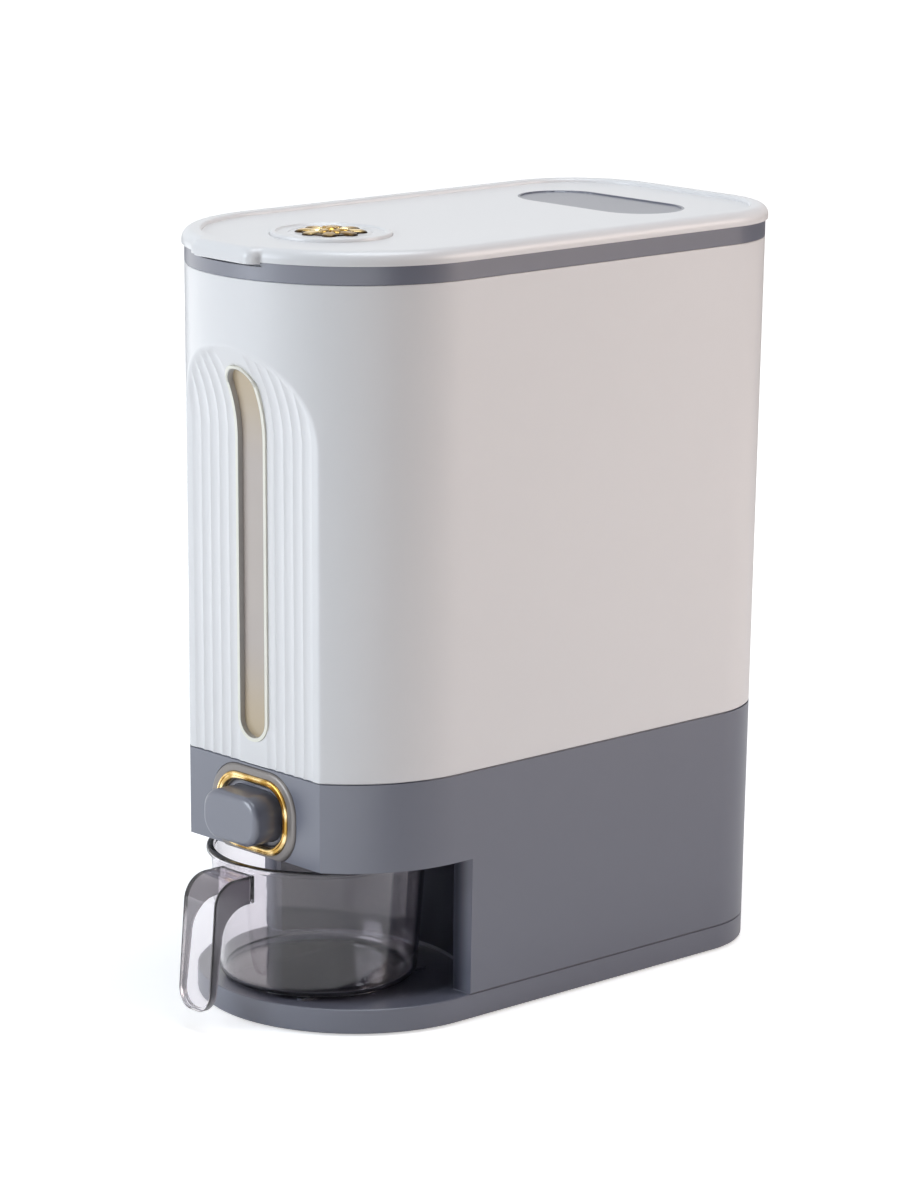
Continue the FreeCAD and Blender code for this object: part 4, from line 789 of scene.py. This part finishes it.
def make_lip():
    """The lip under the pull tab, which hangs in front of the collar."""
    turn, half, back = TAB_CORNER, TAB_HALF - LIP_IN, NOSE + 0.006
    front = NOSE - LID_OVER - TAB_PROUD + LIP_IN
    left = arc((turn - half, front + turn), turn, 195, 270, 8)
    right = arc((half - turn, front + turn), turn, 270, 345, 8)
    outline = [(0.001 - half, back)] + left + right + [(half - 0.001, back)]
    lip = slab("lip", outline, 2, LIP_LOW, COLLAR_TOP + 0.0005)
    nose = ring_of((0, NOSE + WIDTH / 2), WIDTH / 2 + LIP_GAP, 240)
    return carve(lip, slab("collar_room", nose, 2, LIP_LOW - OVER, COLLAR_TOP))


CAP_LINE = (0.0215, 0.0219, 0.0229, 0.0233)     # a fine channel about the rosette
CAP_GRIP, GRIP_RISE = 0.0033, 0.0009            # the raised ring at its edge
CAP_GROOVE = (0.0291, 0.0309, 0.0014)           # radii and depth of the seal's groove
SKIRT_GAP, SKIRT_WALL, SKIRT_DEPTH = 0.0020, 0.0016, 0.005
FINE_EDGE = 0.0003


def make_cap():
    """The round cap that twists in the lid."""
    radius, top, low, fine = CAP_RADIUS, CAP_TOP, CAP_LOW, FINE_EDGE
    grip, rise = radius - CAP_GRIP, top + GRIP_RISE
    skirt = BASKET_RADIUS - SKIRT_GAP
    thin, deep = skirt - SKIRT_WALL, low - SKIRT_DEPTH
    near, far, depth = CAP_GROOVE
    profile = [(0, top)] + list(zip(CAP_LINE, (top, top - fine, top - fine, top)))
    profile += [(grip - 0.0006, top), (grip - 0.0002, top + fine), (grip, rise - fine)]
    profile += [(grip + 0.0004, rise), (radius - 0.0012, rise), (radius - 0.0005, rise - fine)]
    profile += [(radius - fine, top + 0.0001), (radius, top - 0.0008), (radius, low)]
    profile += [(far, low), (far, low + depth), (near, low + depth), (near, low)]
    profile += [(skirt, low), (skirt, deep), (thin, deep), (thin, low), (0, low)]
    dress(lathe("twist_cap", profile, CAP_AXIS, 128), "cap", "white_plastic", "desiccant_cap")


OUTER_PETAL = (0.0150, 0.0110, 0.0022, 0.0122)  # length, width, height and distance from the middle
INNER_PETAL = (0.0100, 0.0075, 0.0030, 0.0070)
BEAD = (0.0018, 0.0018, 0.0029, 0.0050)
PETALS, BEADS = 8, 16
BOSS = (0.0042, 0.0042, 0.0032)
PLATE_RADIUS, PLATE_HEIGHT = 0.0160, 0.0016
GRAIN_OF_CAST = 0.00022


def petal(length, width, height, reach):
    """One domed leaf, narrow towards the middle, with a crease along it."""
    leaf = begin("petal", bpy.ops.mesh.primitive_uv_sphere_add, segments=28, ring_count=14, radius=1.0)
    bpy.ops.transform.resize(value=(length / 2, width / 2, height))
    mesh = bmesh.from_edit_mesh(leaf.data)
    for corner in mesh.verts:
        along = corner.co.x / (length / 2)
        across = corner.co.y / (width / 2)
        corner.co.y *= 0.72 + 0.28 * along
        if corner.co.z > 0:
            corner.co.z *= 0.75 + 0.25 * abs(across) ** 0.7 + 0.12 * along
        corner.co.x += reach
    bmesh.update_edit_mesh(leaf.data)
    bpy.ops.object.mode_set(mode="OBJECT")
    return leaf


def spread(piece, count, turn=0.0):
    """Turn a leaf to its place and copy it round the upright axis."""
    open_for_edit(piece)
    bpy.ops.mesh.select_all(action="SELECT")
    bpy.ops.mesh.spin(steps=count, dupli=True, angle=2 * pi, center=(0, 0, 0), axis=(0, 0, 1))
    mesh = bmesh.from_edit_mesh(piece.data)
    bmesh.ops.rotate(mesh, cent=(0, 0, 0), matrix=Matrix.Rotation(turn, 3, "Z"), verts=mesh.verts)
    bmesh.update_edit_mesh(piece.data)
    bpy.ops.object.mode_set(mode="OBJECT")
    return piece


def make_emblem():
    """A generic cast rosette: two rings of petals about a beaded boss, fused and smoothed."""
    rosette = spread(petal(*OUTER_PETAL), PETALS)
    inner = spread(petal(*INNER_PETAL), PETALS, pi / PETALS)
    boss = begin("boss", bpy.ops.mesh.primitive_uv_sphere_add, segments=32, ring_count=16, radius=1.0)
    bpy.ops.transform.resize(value=BOSS)
    beads = spread(petal(*BEAD), BEADS)
    plate = begin("plate", bpy.ops.mesh.primitive_cylinder_add, vertices=64, radius=PLATE_RADIUS,
                  depth=PLATE_HEIGHT)
    join(rosette, inner, boss, beads, plate)
    rosette.name = "cap_rosette"
    alter(rosette, "REMESH", mode="VOXEL", voxel_size=GRAIN_OF_CAST)
    alter(rosette, "SMOOTH", iterations=3)
    carve(rosette, box("under", (0, 0, -0.01), (0.06, 0.06, 0.02)))
    open_for_edit(rosette)
    bpy.ops.mesh.select_all(action="SELECT")
    move(*CAP_AXIS, CAP_TOP)
    close(rosette)
    dress(rosette, "cap", "gold", "cap_emblem", angle=60)


# -------------------------------- collar, housing and tray

DRAFT, FACE_DRAFT = 0.0091, 0.0117       # how much the walls and the flat face lean per height
FACE_IN = 0.0178                        # the flat face behind the nose, at the body's top
BODY_TOP, HEAD_TOP, TRAY_TOP = 0.4103, 0.142, 0.0152
SEAM, TOP_ROUND = 0.0005, 0.0007
GAP_HEIGHT, GAP_DEPTH = 0.0006, 0.0011
COLLAR_EDGE, COLLAR_WALL = 0.0004, 0.0048
SKIRT_LOW, SKIRT_IN = BODY_TOP - 0.008, 0.0028
NOTCH_RADIUS, NOTCH_LOW, NOTCH_HIGH, NOTCH_DEPTH = 0.0262, 0.4178, 0.4192, 0.0030
TRAY_LOW, TRAY_ROUND, TRAY_SETBACK = 0.001, 0.002, 0.00465
WELL_MIDDLE, WELL_RADIUS, WELL_DEPTH = (0, NOSE + 0.086), 0.0685, 0.0015
RUNNER_X, RUNNER = 0.030, (0.004, 0.092, 0.008)
CELL, CELL_PITCH = (0.033, 0.033, 0.018), 0.037
PAD_RADIUS, SCREW_HEAD, SCREW_HOLE, SCREW_BORE = 0.0091, 0.0032, 0.0019, 0.00158
TOWER_RADIUS, EAR_RADIUS, BORE_DEPTH = 0.006, 0.004, 0.014
BAY_TOP, BAY_BACK, BAY_RECESS = 0.0925, 0.1025, 0.080
BAY_AHEAD = NOSE - 0.05
HEAD_WALL, HEAD_FLOOR, DECK_ROOM = 0.0024, 0.0026, 0.0025
FACE_INNER = 0.0244
SPOUT = (0.0614, 0.0174, 0.02)
RING_RECESS = (0.0347, 0.0255, 0.0213)
SLEEVE_GAP = 0.0031


def both_sides(*places):
    """The places on both sides, as (x, y), of what is given as (x, distance behind the nose)."""
    return [(side * x, NOSE + behind) for x, behind in places for side in (1, -1)]


PADS = both_sides((0.052, 0.052), (0.052, 0.316))
TOWERS = both_sides((0.0785, 0.122), (0.0785, 0.280), (0.030, 0.341))
EARS = both_sides((0.047, 0.056), (0.047, 0.094))


def inset_at(height):
    """How far the drafted wall stands inside the plan at a height."""
    return (BODY_TOP - height) * DRAFT


def make_collar():
    """The band between body and lid, with its skirt inside the body and a notch under the tab."""
    low, edge = BODY_TOP, COLLAR_EDGE
    band = wrap("rim_band", [(plan(edge), low), (plan(0), low + edge), (plan(0), COLLAR_TOP - edge),
                             (plan(edge), COLLAR_TOP)])
    carve(band, slab("skirt", plan(inset_at(SKIRT_LOW) + SKIRT_IN), 2, SKIRT_LOW, low + 0.001), "UNION")
    carve(band, slab("bore", plan(COLLAR_WALL), 2, SKIRT_LOW - OVER, COLLAR_TOP + OVER))
    notch = slab("finger_gap", ring_of((0, NOSE), NOTCH_RADIUS, 60), 2, NOTCH_LOW, NOTCH_HIGH)
    carve(notch, slab("behind", plan(NOTCH_DEPTH), 2, NOTCH_LOW - OVER, NOTCH_HIGH + OVER))
    carve(band, notch)
    dress(band, "dispenser", "slate_plastic", "rim_collar")


def tray_level(height, inwards):
    return plan(inset_at(height) + inwards, setback=TRAY_SETBACK), height


def make_tray():
    """The base plate: its round edge, the well under the cup with two runners, and the cells below."""
    levels = []
    for step in range(9):
        angle = pi / 2 * step / 8
        levels.append(tray_level(TRAY_LOW + TRAY_ROUND * (1 - cos(angle)), TRAY_ROUND * (1 - sin(angle))))
    levels += [tray_level(TRAY_TOP - SEAM, 0), tray_level(TRAY_TOP, SEAM)]
    tray = wrap("foot_tray", levels)
    dish = slab("well", ring_of(WELL_MIDDLE, WELL_RADIUS), 2, TRAY_TOP - WELL_DEPTH, TRAY_TOP + OVER)
    carve(dish, slab("reach", ring_of(CUP_AXIS, BAY_RECESS, 160), 2, 0, 0.1), "INTERSECT")
    for side in (1, -1):
        carve(dish, box("runner", (side * RUNNER_X, NOSE + 0.074, TRAY_TOP), RUNNER))
    carve(tray, dish)
    cells = box("cells", (-1.5 * CELL_PITCH, NOSE + 0.106, TRAY_LOW), CELL)
    repeat(cells, (CELL_PITCH, 0, 0), 4)
    repeat(cells, (0, CELL_PITCH, 0), 6)
    carve(tray, cells)
    carve(tray, pins(PADS, PAD_RADIUS, 0, TRAY_LOW + 0.0008))
    carve(tray, pins(TOWERS, SCREW_HEAD, 0, TRAY_LOW + 0.006))
    carve(tray, pins(TOWERS, SCREW_HOLE, 0, 0.1))
    dress(tray, "dispenser", "slate_plastic", "base_plate")


def make_housing():
    """The slate housing: its flat face, the cup bay, the hollow head and the screw towers."""
    body = wrap("base_housing_form", [(plan(inset_at(height)), height) for height in (TRAY_TOP, HEAD_TOP)])
    face = [(face_y(0), 0), (BAY_AHEAD, 0), (BAY_AHEAD, 0.2), (face_y(0.2), 0.2)]
    carve(body, slab("ahead", face, 0, -0.1, 0.1))
    carve(body, slab("bay", bay_plan(0), 2, 0, BAY_TOP))
    inner = plan(inset_at(TRAY_TOP) + HEAD_WALL)
    floor, deck = BAY_TOP + HEAD_FLOOR, HEAD_TOP - DECK_ROOM
    carve(body, slab("head_room", flat_nose(inner, NOSE + FACE_INNER), 2, floor, HEAD_TOP + OVER))
    behind = slab("rear_room", inner, 2, 0, floor + 0.0005)
    carve(behind, slab("bay_walls", bay_plan(HEAD_FLOOR), 2, -OVER, floor + OVER))
    carve(body, behind)
    carve(body, pins(TOWERS, TOWER_RADIUS, TRAY_TOP, deck), "UNION")
    carve(body, pins(TOWERS, SCREW_BORE, TRAY_TOP - OVER, TRAY_TOP + BORE_DEPTH))
    carve(body, pins(TOWERS, SCREW_BORE, deck - BORE_DEPTH, deck + OVER))
    carve(body, pins(EARS, EAR_RADIUS, floor - 0.0005, floor + 0.003), "UNION")
    carve(body, pins(EARS, SCREW_BORE, floor - 0.0013, floor + OVER))
    carve(body, box("spout", (0, NOSE + 0.068, floor), SPOUT))
    carve(body, slab("seat", rounded(RING_RECESS), 1, BAY_AHEAD, RING_SEAT))
    carve(body, slab("bore", rounded(BUTTON, SLEEVE_GAP), 1, BAY_AHEAD, NOSE + FACE_INNER + 0.001))
    carve(body, seam_gap(TRAY_TOP - 0.001, TRAY_TOP + GAP_HEIGHT))
    carve(body, seam_gap(HEAD_TOP - GAP_HEIGHT, HEAD_TOP + 0.001))
    dress(body, "dispenser", "slate_plastic", "base_housing")


def seam_gap(low, high):
    """What is cut away round a piece for the dark line where it meets the next."""
    around = slab("around", plan(-0.005), 2, low, high)
    height = (low + high) / 2
    front = face_y(height) + GAP_DEPTH
    kept = flat_nose(plan(inset_at(height) + GAP_DEPTH), front)
    return carve(around, slab("kept", kept, 2, low - 0.001, high + 0.001))


def face_y(height):
    """Where the flat front face stands."""
    return NOSE + FACE_IN + (BODY_TOP - height) * FACE_DRAFT


def flat_nose(outline, front):
    """An outline whose nose is cut off flat."""
    kept = [(x, y) for x, y in outline if y > front]
    nose = [point for point in outline if point[1] < front]
    half = (abs(nose[0][0]) + abs(nose[-1][0])) / 2
    place = next(index for index, (x, y) in enumerate(kept) if x > 0)
    return kept[:place] + [(-half, front), (half, front)] + kept[place:]


def bay_plan(behind):
    """Plan of the cup bay: a straight back wall with a round recess about the cup's axis."""
    back, radius = NOSE + BAY_BACK + behind, BAY_RECESS + behind
    half = (radius ** 2 - (back - CUP_AXIS[1]) ** 2) ** 0.5
    turn = degrees(atan2(back - CUP_AXIS[1], half))
    recess = arc(CUP_AXIS, radius, turn, 180 - turn, 64)
    return [(-WIDTH, BAY_AHEAD), (WIDTH, BAY_AHEAD), (WIDTH, back)] + recess + [(-WIDTH, back)]


# -------------------------------- container

WALL = 0.0026
SCOOP_START, SCOOP_RADIUS = 0.320, 0.085
SCOOP_END = 0.380               # above the arch that the scoop cuts into the nose
EDGE_BLEND = 0.0007
FLUTE_PITCH, FLUTE_DEPTH, FLUTES = 0.0075, 0.0009, 5
FLUTE_FIRST = 0.015
FLUTE_FADE = (0.0008, 0.0034)   # depth of the face behind the nose where a flute starts and is whole
FINE, FINE_STEPS = FLUTE_PITCH / 12, 90
NOSE_STEPS = 16                 # on either side, where the nose isn't cut
WINDOW_REACH = NOSE + 0.0356


def front_at(height, behind=0.0):
    """Where the face, or the scoop above it, stands at a height."""
    if height < SCOOP_START:
        return face_y(height) + behind
    radius = SCOOP_RADIUS + behind
    rise = min(height - SCOOP_START, radius)
    return face_y(SCOOP_START) - SCOOP_RADIUS + (radius ** 2 - rise ** 2) ** 0.5


def flute_at(x, set_back):
    """Depth of the flutes across the face; they fade out short of the nose."""
    place = (abs(x) - FLUTE_FIRST) / FLUTE_PITCH
    if not -0.5 < place < FLUTES - 0.5:
        return 0.0
    across = 2 * (place - round(place))
    low, high = FLUTE_FADE
    whole = min(max((set_back - low) / (high - low), 0.0), 1.0)
    return FLUTE_DEPTH * (1 - across ** 2) * whole ** 2 * (3 - 2 * whole)


def nose_points(inwards, height, behind, step, count, blend, fluted):
    """The cut and fluted nose from left to right, evenly spaced across its middle."""
    radius, middle = WIDTH / 2 - inwards, NOSE + WIDTH / 2
    across = [step * index for index in range(count + 1)]
    edge = degrees(atan2(across[-1], (radius ** 2 - across[-1] ** 2) ** 0.5))
    for index in range(NOSE_STEPS):
        across.append(radius * sin(radians(edge + (90 - edge) * (index + 1) / NOSE_STEPS)))
    front = front_at(height, behind)
    points = []
    for x in [-value for value in reversed(across[1:])] + across:
        nose = middle - max(radius ** 2 - x ** 2, 0.0) ** 0.5
        near = max(blend - abs(nose - front), 0.0) / blend
        y = max(nose, front) + near ** 2 * blend / 4
        points.append((x, y + (flute_at(x, front - nose) if fluted else 0.0)))
    return points


def body_level(height, inwards=0.0, behind=0.0, step=FINE, count=FINE_STEPS, blend=EDGE_BLEND,
               fluted=True):
    """One level of the container: its outline and its height."""
    deep = inset_at(height) + inwards
    nose = nose_points(deep, height, behind, step, count, blend, fluted)
    return nose + plan(deep)[PLAN_NOSE:], height


def steps_between(low, high, count):
    return [low + (high - low) * index / count for index in range(count)]


def make_shell():
    """The white container: a flat fluted face below a scoop in its round nose, and the window's slot."""
    heights = steps_between(HEAD_TOP + SEAM, SCOOP_START, 20)
    heights += steps_between(SCOOP_START, SCOOP_END, 96)
    heights += steps_between(SCOOP_END, BODY_TOP - TOP_ROUND, 4)
    levels = [body_level(HEAD_TOP, SEAM)] + [body_level(height) for height in heights]
    for index in range(5):
        turn = radians(90) * index / 4
        height = BODY_TOP - TOP_ROUND * (1 - sin(turn))
        levels.append(body_level(height, TOP_ROUND * (1 - cos(turn))))
    shell = wrap("container", levels)
    coarse = {"inwards": WALL, "behind": WALL, "step": FINE * 6, "count": FINE_STEPS // 6,
              "blend": BITE, "fluted": False}
    heights = steps_between(HEAD_TOP - 0.001, SCOOP_START, 6)
    heights += steps_between(SCOOP_START, SCOOP_END, 24) + [SCOOP_END, BODY_TOP + 0.001]
    carve(shell, wrap("space", [body_level(height, **coarse) for height in heights]))
    slot = arc((0, WINDOW_HIGH - WINDOW_HALF), WINDOW_HALF, 0, 180, 32)
    slot += arc((0, WINDOW_LOW + WINDOW_HALF), WINDOW_HALF, 180, 360, 32)
    carve(shell, slab("slot", slot, 1, BAY_AHEAD, WINDOW_REACH))
    dress(shell, "dispenser", "white_plastic", "outer_shell")


# -------------------------------- everything else

SLOTS = {part["node"]: part["material_slot"] for part in frame["record"]["subparts"]}
BODIES = frame["record"]["behaviour"]["bodies"]

MODELLED = [make_tray, make_housing, make_shell, make_collar, make_lid, make_cap, make_emblem,
            make_button, make_ring, make_cup, make_handle]
REPLACED = ["base_plate", "base_housing", "outer_shell", "rim_collar", "lid_cover", "desiccant_cap",
            "cap_emblem", "button_cap", "button_bezel", "measuring_cup"]

for make in MODELLED:
    make()
for body, nodes in BODIES.items():
    for node in nodes:
        if node not in REPLACED:
            refine(node, body, SLOTS[node])

spring = bpy.data.objects["return_spring_skin"]
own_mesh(spring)


# -------------------------------- stage, light and camera

WORLD_LEVEL = 0.03
WORLD_BEHIND = 0.15             # what reflections see of the room behind the object
BEHIND_WAY, BEHIND_FROM = (0.7, 0.7, 0.0), 0.6
FLOOR_SIZE, FLOOR_TONE = 12.0, 0.92
FLOOR_GLOW, FLOOR_FAR_GLOW = 0.55, 1.1
FLOOR_FADE = (0.45, 1.2)        # metres from the object's middle
GLOSS_FADE, GLOSS_FRONT, GLOSS_BEHIND = (-0.35, 0.0), 1.4, 0.05
COOL, WARM = (0.86, 0.93, 1.0), (1.0, 0.87, 0.81)
LAMP_TARGET = (0, 0, 0.2)
LAMPS = [("left_window", (-0.75, -2.1, 1.0), 1.6, 35, COOL),   # name, place, size, watts, colour
         ("overhead", (0.2, 0.1, 2.4), 1.4, 27, COOL),
         ("right_fill", (1.5, 1.1, 0.8), 1.2, 18, WARM)]
CAMERA_PLACE, CAMERA_LENS = (1.7649, -1.6518, 0.7628), 133.03
CAMERA_TURN, CAMERA_DIP, CAMERA_ROLL = 46.914, 12.843, 0.607


def add_light(name, place, size, power, colour):
    lamp = bpy.data.lights.new(name, "AREA")
    lamp.shape = "DISK"
    lamp.size = size
    lamp.energy = power
    lamp.color = colour
    holder = bpy.data.objects.new(name, lamp)
    bpy.context.scene.collection.objects.link(holder)
    holder.location = place
    holder.rotation_euler = (Vector(LAMP_TARGET) - Vector(place)).to_track_quat("-Z", "Y").to_euler()


def seen_as_white(tree, plain=0.0, gloss=1.0):
    """Strength 1 to the camera, also through clear pieces; gloss in reflections; plain for the rest."""
    path = tree.nodes.new("ShaderNodeLightPath")
    strength = None
    for ray, value in (("Is Camera Ray", 1.0), ("Is Transmission Ray", 1.0), ("Is Glossy Ray", gloss)):
        seen = tree.nodes.new("ShaderNodeMath")
        seen.operation = "MULTIPLY"
        tree.links.new(path.outputs[ray], seen.inputs[0])
        if isinstance(value, float):
            seen.inputs[1].default_value = value
        else:
            tree.links.new(value, seen.inputs[1])
        most = tree.nodes.new("ShaderNodeMath")
        most.operation = "MAXIMUM"
        tree.links.new(seen.outputs[0], most.inputs[0])
        if strength:
            tree.links.new(strength, most.inputs[1])
        else:
            most.inputs[1].default_value = plain
        strength = most.outputs[0]
    return strength


def set_world():
    world = bpy.data.worlds.new("studio")
    bpy.context.scene.world = world
    world.use_nodes = True
    tree = world.node_tree
    background = tree.nodes["Background"]
    background.inputs["Color"].default_value = tone(1.0, 1.0, 1.0)
    coordinates = tree.nodes.new("ShaderNodeTexCoord")
    facing = tree.nodes.new("ShaderNodeVectorMath")
    facing.operation = "DOT_PRODUCT"
    facing.inputs[1].default_value = BEHIND_WAY
    tree.links.new(coordinates.outputs["Generated"], facing.inputs[0])
    dim = tree.nodes.new("ShaderNodeMapRange")
    for name, value in (("From Max", BEHIND_FROM), ("To Min", 1.0), ("To Max", WORLD_BEHIND)):
        dim.inputs[name].default_value = value
    tree.links.new(facing.outputs["Value"], dim.inputs[0])
    strength = seen_as_white(tree, WORLD_LEVEL, dim.outputs[0])
    tree.links.new(strength, background.inputs["Strength"])


def add_floor():
    """A white floor that keeps the object's shadow; reflections see it bright before the nose."""
    take()
    bpy.ops.mesh.primitive_plane_add(size=FLOOR_SIZE, location=(0, 0, 0))
    floor = bpy.context.object
    floor.name = "floor"
    paint = Paint("floor", Roughness=0.9, Specular_IOR_Level=0.1)
    paint.colour(tone(FLOOR_TONE, FLOOR_TONE, FLOOR_TONE))
    distance = (paint.x * paint.x + paint.y * paint.y) ** 0.5
    near, far = [tone(glow, glow, glow) for glow in (FLOOR_GLOW, FLOOR_FAR_GLOW)]
    glow = paint.mix(distance.fade(*FLOOR_FADE), near, far)
    paint.feed(paint.surface.inputs["Emission Color"], glow)
    behind = (paint.y + paint.x * 0.3).fade(*GLOSS_FADE)
    gloss = GLOSS_FRONT + behind * (GLOSS_BEHIND - GLOSS_FRONT)
    strength = seen_as_white(paint.tree, 0.0, gloss.socket)
    paint.tree.links.new(strength, paint.surface.inputs["Emission Strength"])
    floor.data.materials.append(paint.material)


def add_camera():
    """The camera stands off the right of the nose, a little above the lid."""
    sight = bpy.data.cameras.new("camera")
    sight.lens = CAMERA_LENS
    camera = bpy.data.objects.new("camera", sight)
    bpy.context.scene.collection.objects.link(camera)
    turn = Matrix.Rotation(radians(CAMERA_TURN), 4, "Z")
    tilt = Matrix.Rotation(radians(90 - CAMERA_DIP), 4, "X")
    roll = Matrix.Rotation(radians(CAMERA_ROLL), 4, "Z")
    camera.matrix_world = Matrix.Translation(CAMERA_PLACE) @ turn @ tilt @ roll
    bpy.context.scene.camera = camera


set_world()
add_floor()
for lamp in LAMPS:
    add_light(*lamp)
add_camera()
bpy.context.scene.view_settings.view_transform = "Standard"
